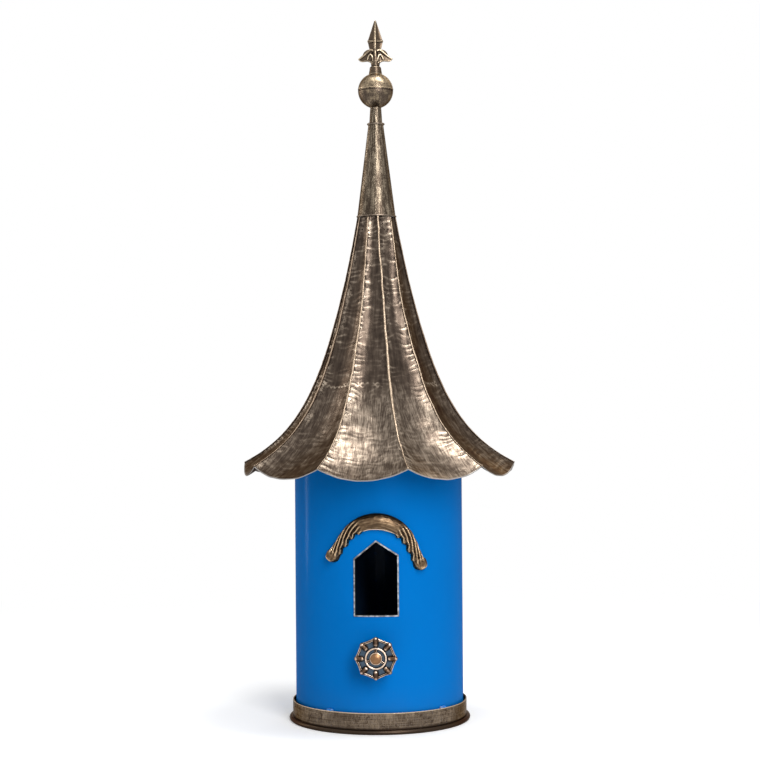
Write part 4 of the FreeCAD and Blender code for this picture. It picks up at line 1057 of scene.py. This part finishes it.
tacks.data.materials.append(tack_finish())
finial_bronze = cast_finish("cast_finial", 4.0, rgb(90, 77, 64), rgb(190, 172, 146), 0.75, 0.24)
finial.data.materials.append(finial_bronze)
weld_bronze = cast_finish("weld_bronze", 3.0, rgb(150, 130, 106), rgb(214, 196, 168), 0.3, 0.5)
bead.data.materials.append(weld_bronze)
dress(cast_finish("copper_bolt", 5.0, rgb(148, 110, 78), rgb(190, 150, 112)), "perch_bolt")
print("small castings dressed")

# %% Arch
LIP_FADE = 8.0


def arch_finish():
    """Brushed along its sweep, dark between the leaves and pale on their backs."""
    finish = Finish("cast_arch")
    run, across, proud = [finish.kept(name) for name in ("run", "across", "proud")]
    streak = finish.patches(finish.join(run / 16.0, across * 5.0), 1.0, 3.0, 0.6, 0.36, 0.64)
    cloud = finish.patches(finish.place, 9.0, 3.0, 0.6, 0.36, 0.64)
    grain = finish.noise(finish.place, 0.5, 2.0, 0.6)
    worn = finish.ease(proud, 0.015, 0.12)
    hollow = 1.0 - finish.ease(proud, -0.09, 0.0)
    # The top edge is painted darker: painted shade.
    top = finish.ease(across, 0.45, 0.85)
    crown = 1.0 - finish.ease(abs(run), LEAF_START, LEAF_START + LIP_FADE)
    # A painted highlight, almost white, along the crown's inner lip.
    lip_highlight = (1.0 - finish.ease(across, -0.90, -0.74)) * crown
    brightness = (0.22 + streak * 0.30 + cloud * 0.16 + worn * 0.50) * (1.0 - hollow * 0.72)
    brightness = brightness * (1.0 - top * 0.45) + lip_highlight * 0.6
    pale = finish.mix(lip_highlight, rgb(190, 164, 132), rgb(240, 228, 212))
    height = streak * 0.10 + grain * 0.04
    return bronze(finish, brightness, height, rough=0.38, mid=rgb(100, 80, 60), bright=pale)


arch.data.materials.append(arch_finish())

# %% Handwheel, with its painted reflection and shade
WHEEL_WEB = 124.0
WEB_END, KNUCKLE_START = WHEEL_WEB + 0.3, WHEEL_WEB + 1.6


def wheel_finish():
    """Worn bright on knuckles and rings; the hollows between get a painted blue-grey drum reflection."""
    finish = Finish("cast_wheel")
    _, y, _ = finish.split(finish.place)
    _, normal_y, _ = finish.split(finish.node("TexCoord", output="Normal"))
    rise = finish.kept("proud")
    worn = finish.ease(rise, 0.01, 0.10)
    hollow = 1.0 - finish.ease(rise, -0.10, 0.0)
    # Faces turned away from the front stay dark: painted shade on the wheel's sides.
    front = finish.ease(0.0 - normal_y, 0.15, 0.75)
    knuckle = finish.ease(0.0 - y, WEB_END, KNUCKLE_START)
    cloud = finish.noise(finish.place, 3.5, 3.0, 0.6)
    grain = finish.noise(finish.place, 0.5, 2.0, 0.6)
    brightness = (cloud * 0.40 + worn * (0.35 + cloud * 0.8)) * (1.0 - hollow * 0.9) * front
    tint = finish.mix(finish.ease(brightness, 0.0, 0.5), rgb(26, 21, 20), rgb(102, 80, 64))
    tint = finish.mix(finish.ease(brightness, 0.35, 0.85), tint, rgb(236, 212, 192))
    # The webs between the knuckles carry a painted blue-grey reflection of the drum.
    drum_reflection = finish.mix(cloud, rgb(44, 56, 70), rgb(84, 102, 118))
    # In the webs' hollows the colour goes near black: painted shade.
    tint = finish.mix(knuckle, finish.mix(hollow, drum_reflection, rgb(22, 22, 24)), tint)
    roughness = 0.28 - knuckle * brightness * 0.06
    height = grain * 0.05 + cloud * 0.2
    return finish.surface(tint, roughness, 0.55 + knuckle * 0.4, finish.bump(height), **WORN_EDGE)


wheel.data.materials.append(wheel_finish())
print("arch and handwheel dressed")

# %% [markdown]
# ## Entrance frame and fittings
# The entrance is lined with a bright strip bent to the shape of a house. Only its front edge was wiped,
# so the metal is bright there; behind it, inside the entrance, the strip is painted near black as
# shade. The perch's spacer, washer and nut are plain steel.

# %% Frame and steel
FRAME_BACK, FRAME_FRONT = DRUM_RADIUS + 0.7, DRUM_RADIUS + 1.35


def trim_finish():
    """A bright cut edge in front, and behind it a strip painted near black: painted shade in the reveal."""
    finish = Finish("frame_strip")
    _, radius, _ = round_the_axis(finish)
    front = finish.ease(radius, FRAME_BACK, FRAME_FRONT)
    stain = finish.noise(finish.place, 5.0, 3.0, 0.6)
    scratch = finish.noise(finish.place, 0.7, 2.0, 0.6)
    bright = finish.mix(finish.ease(stain, 0.40, 0.62), rgb(112, 110, 110), rgb(174, 178, 182))
    # Behind the front edge the strip is near black: painted shade inside the entrance.
    tint = finish.mix(front, rgb(34, 36, 44), bright)
    return finish.surface(tint, 0.46 - front * 0.1, 0.85, finish.bump(scratch * 0.06 + stain * 0.1))


def steel_finish():
    """Plain steel with a grey stain and the fine lines of a machine."""
    finish = Finish("plain_steel")
    cloud = finish.noise(finish.place, 6.0, 3.0, 0.6)
    lines = finish.noise(finish.place, 0.6, 3.0, 0.6)
    tint = finish.mix(cloud * 0.5, rgb(150, 150, 150), rgb(96, 94, 104))
    return finish.surface(tint, 0.40 + cloud * 0.1, 0.9, finish.bump(lines * 0.03))


dress(trim_finish(), "entrance_trim")
dress(steel_finish(), "perch_spacer", "perch_washer", "perch_nut")
print("frame and fittings dressed")
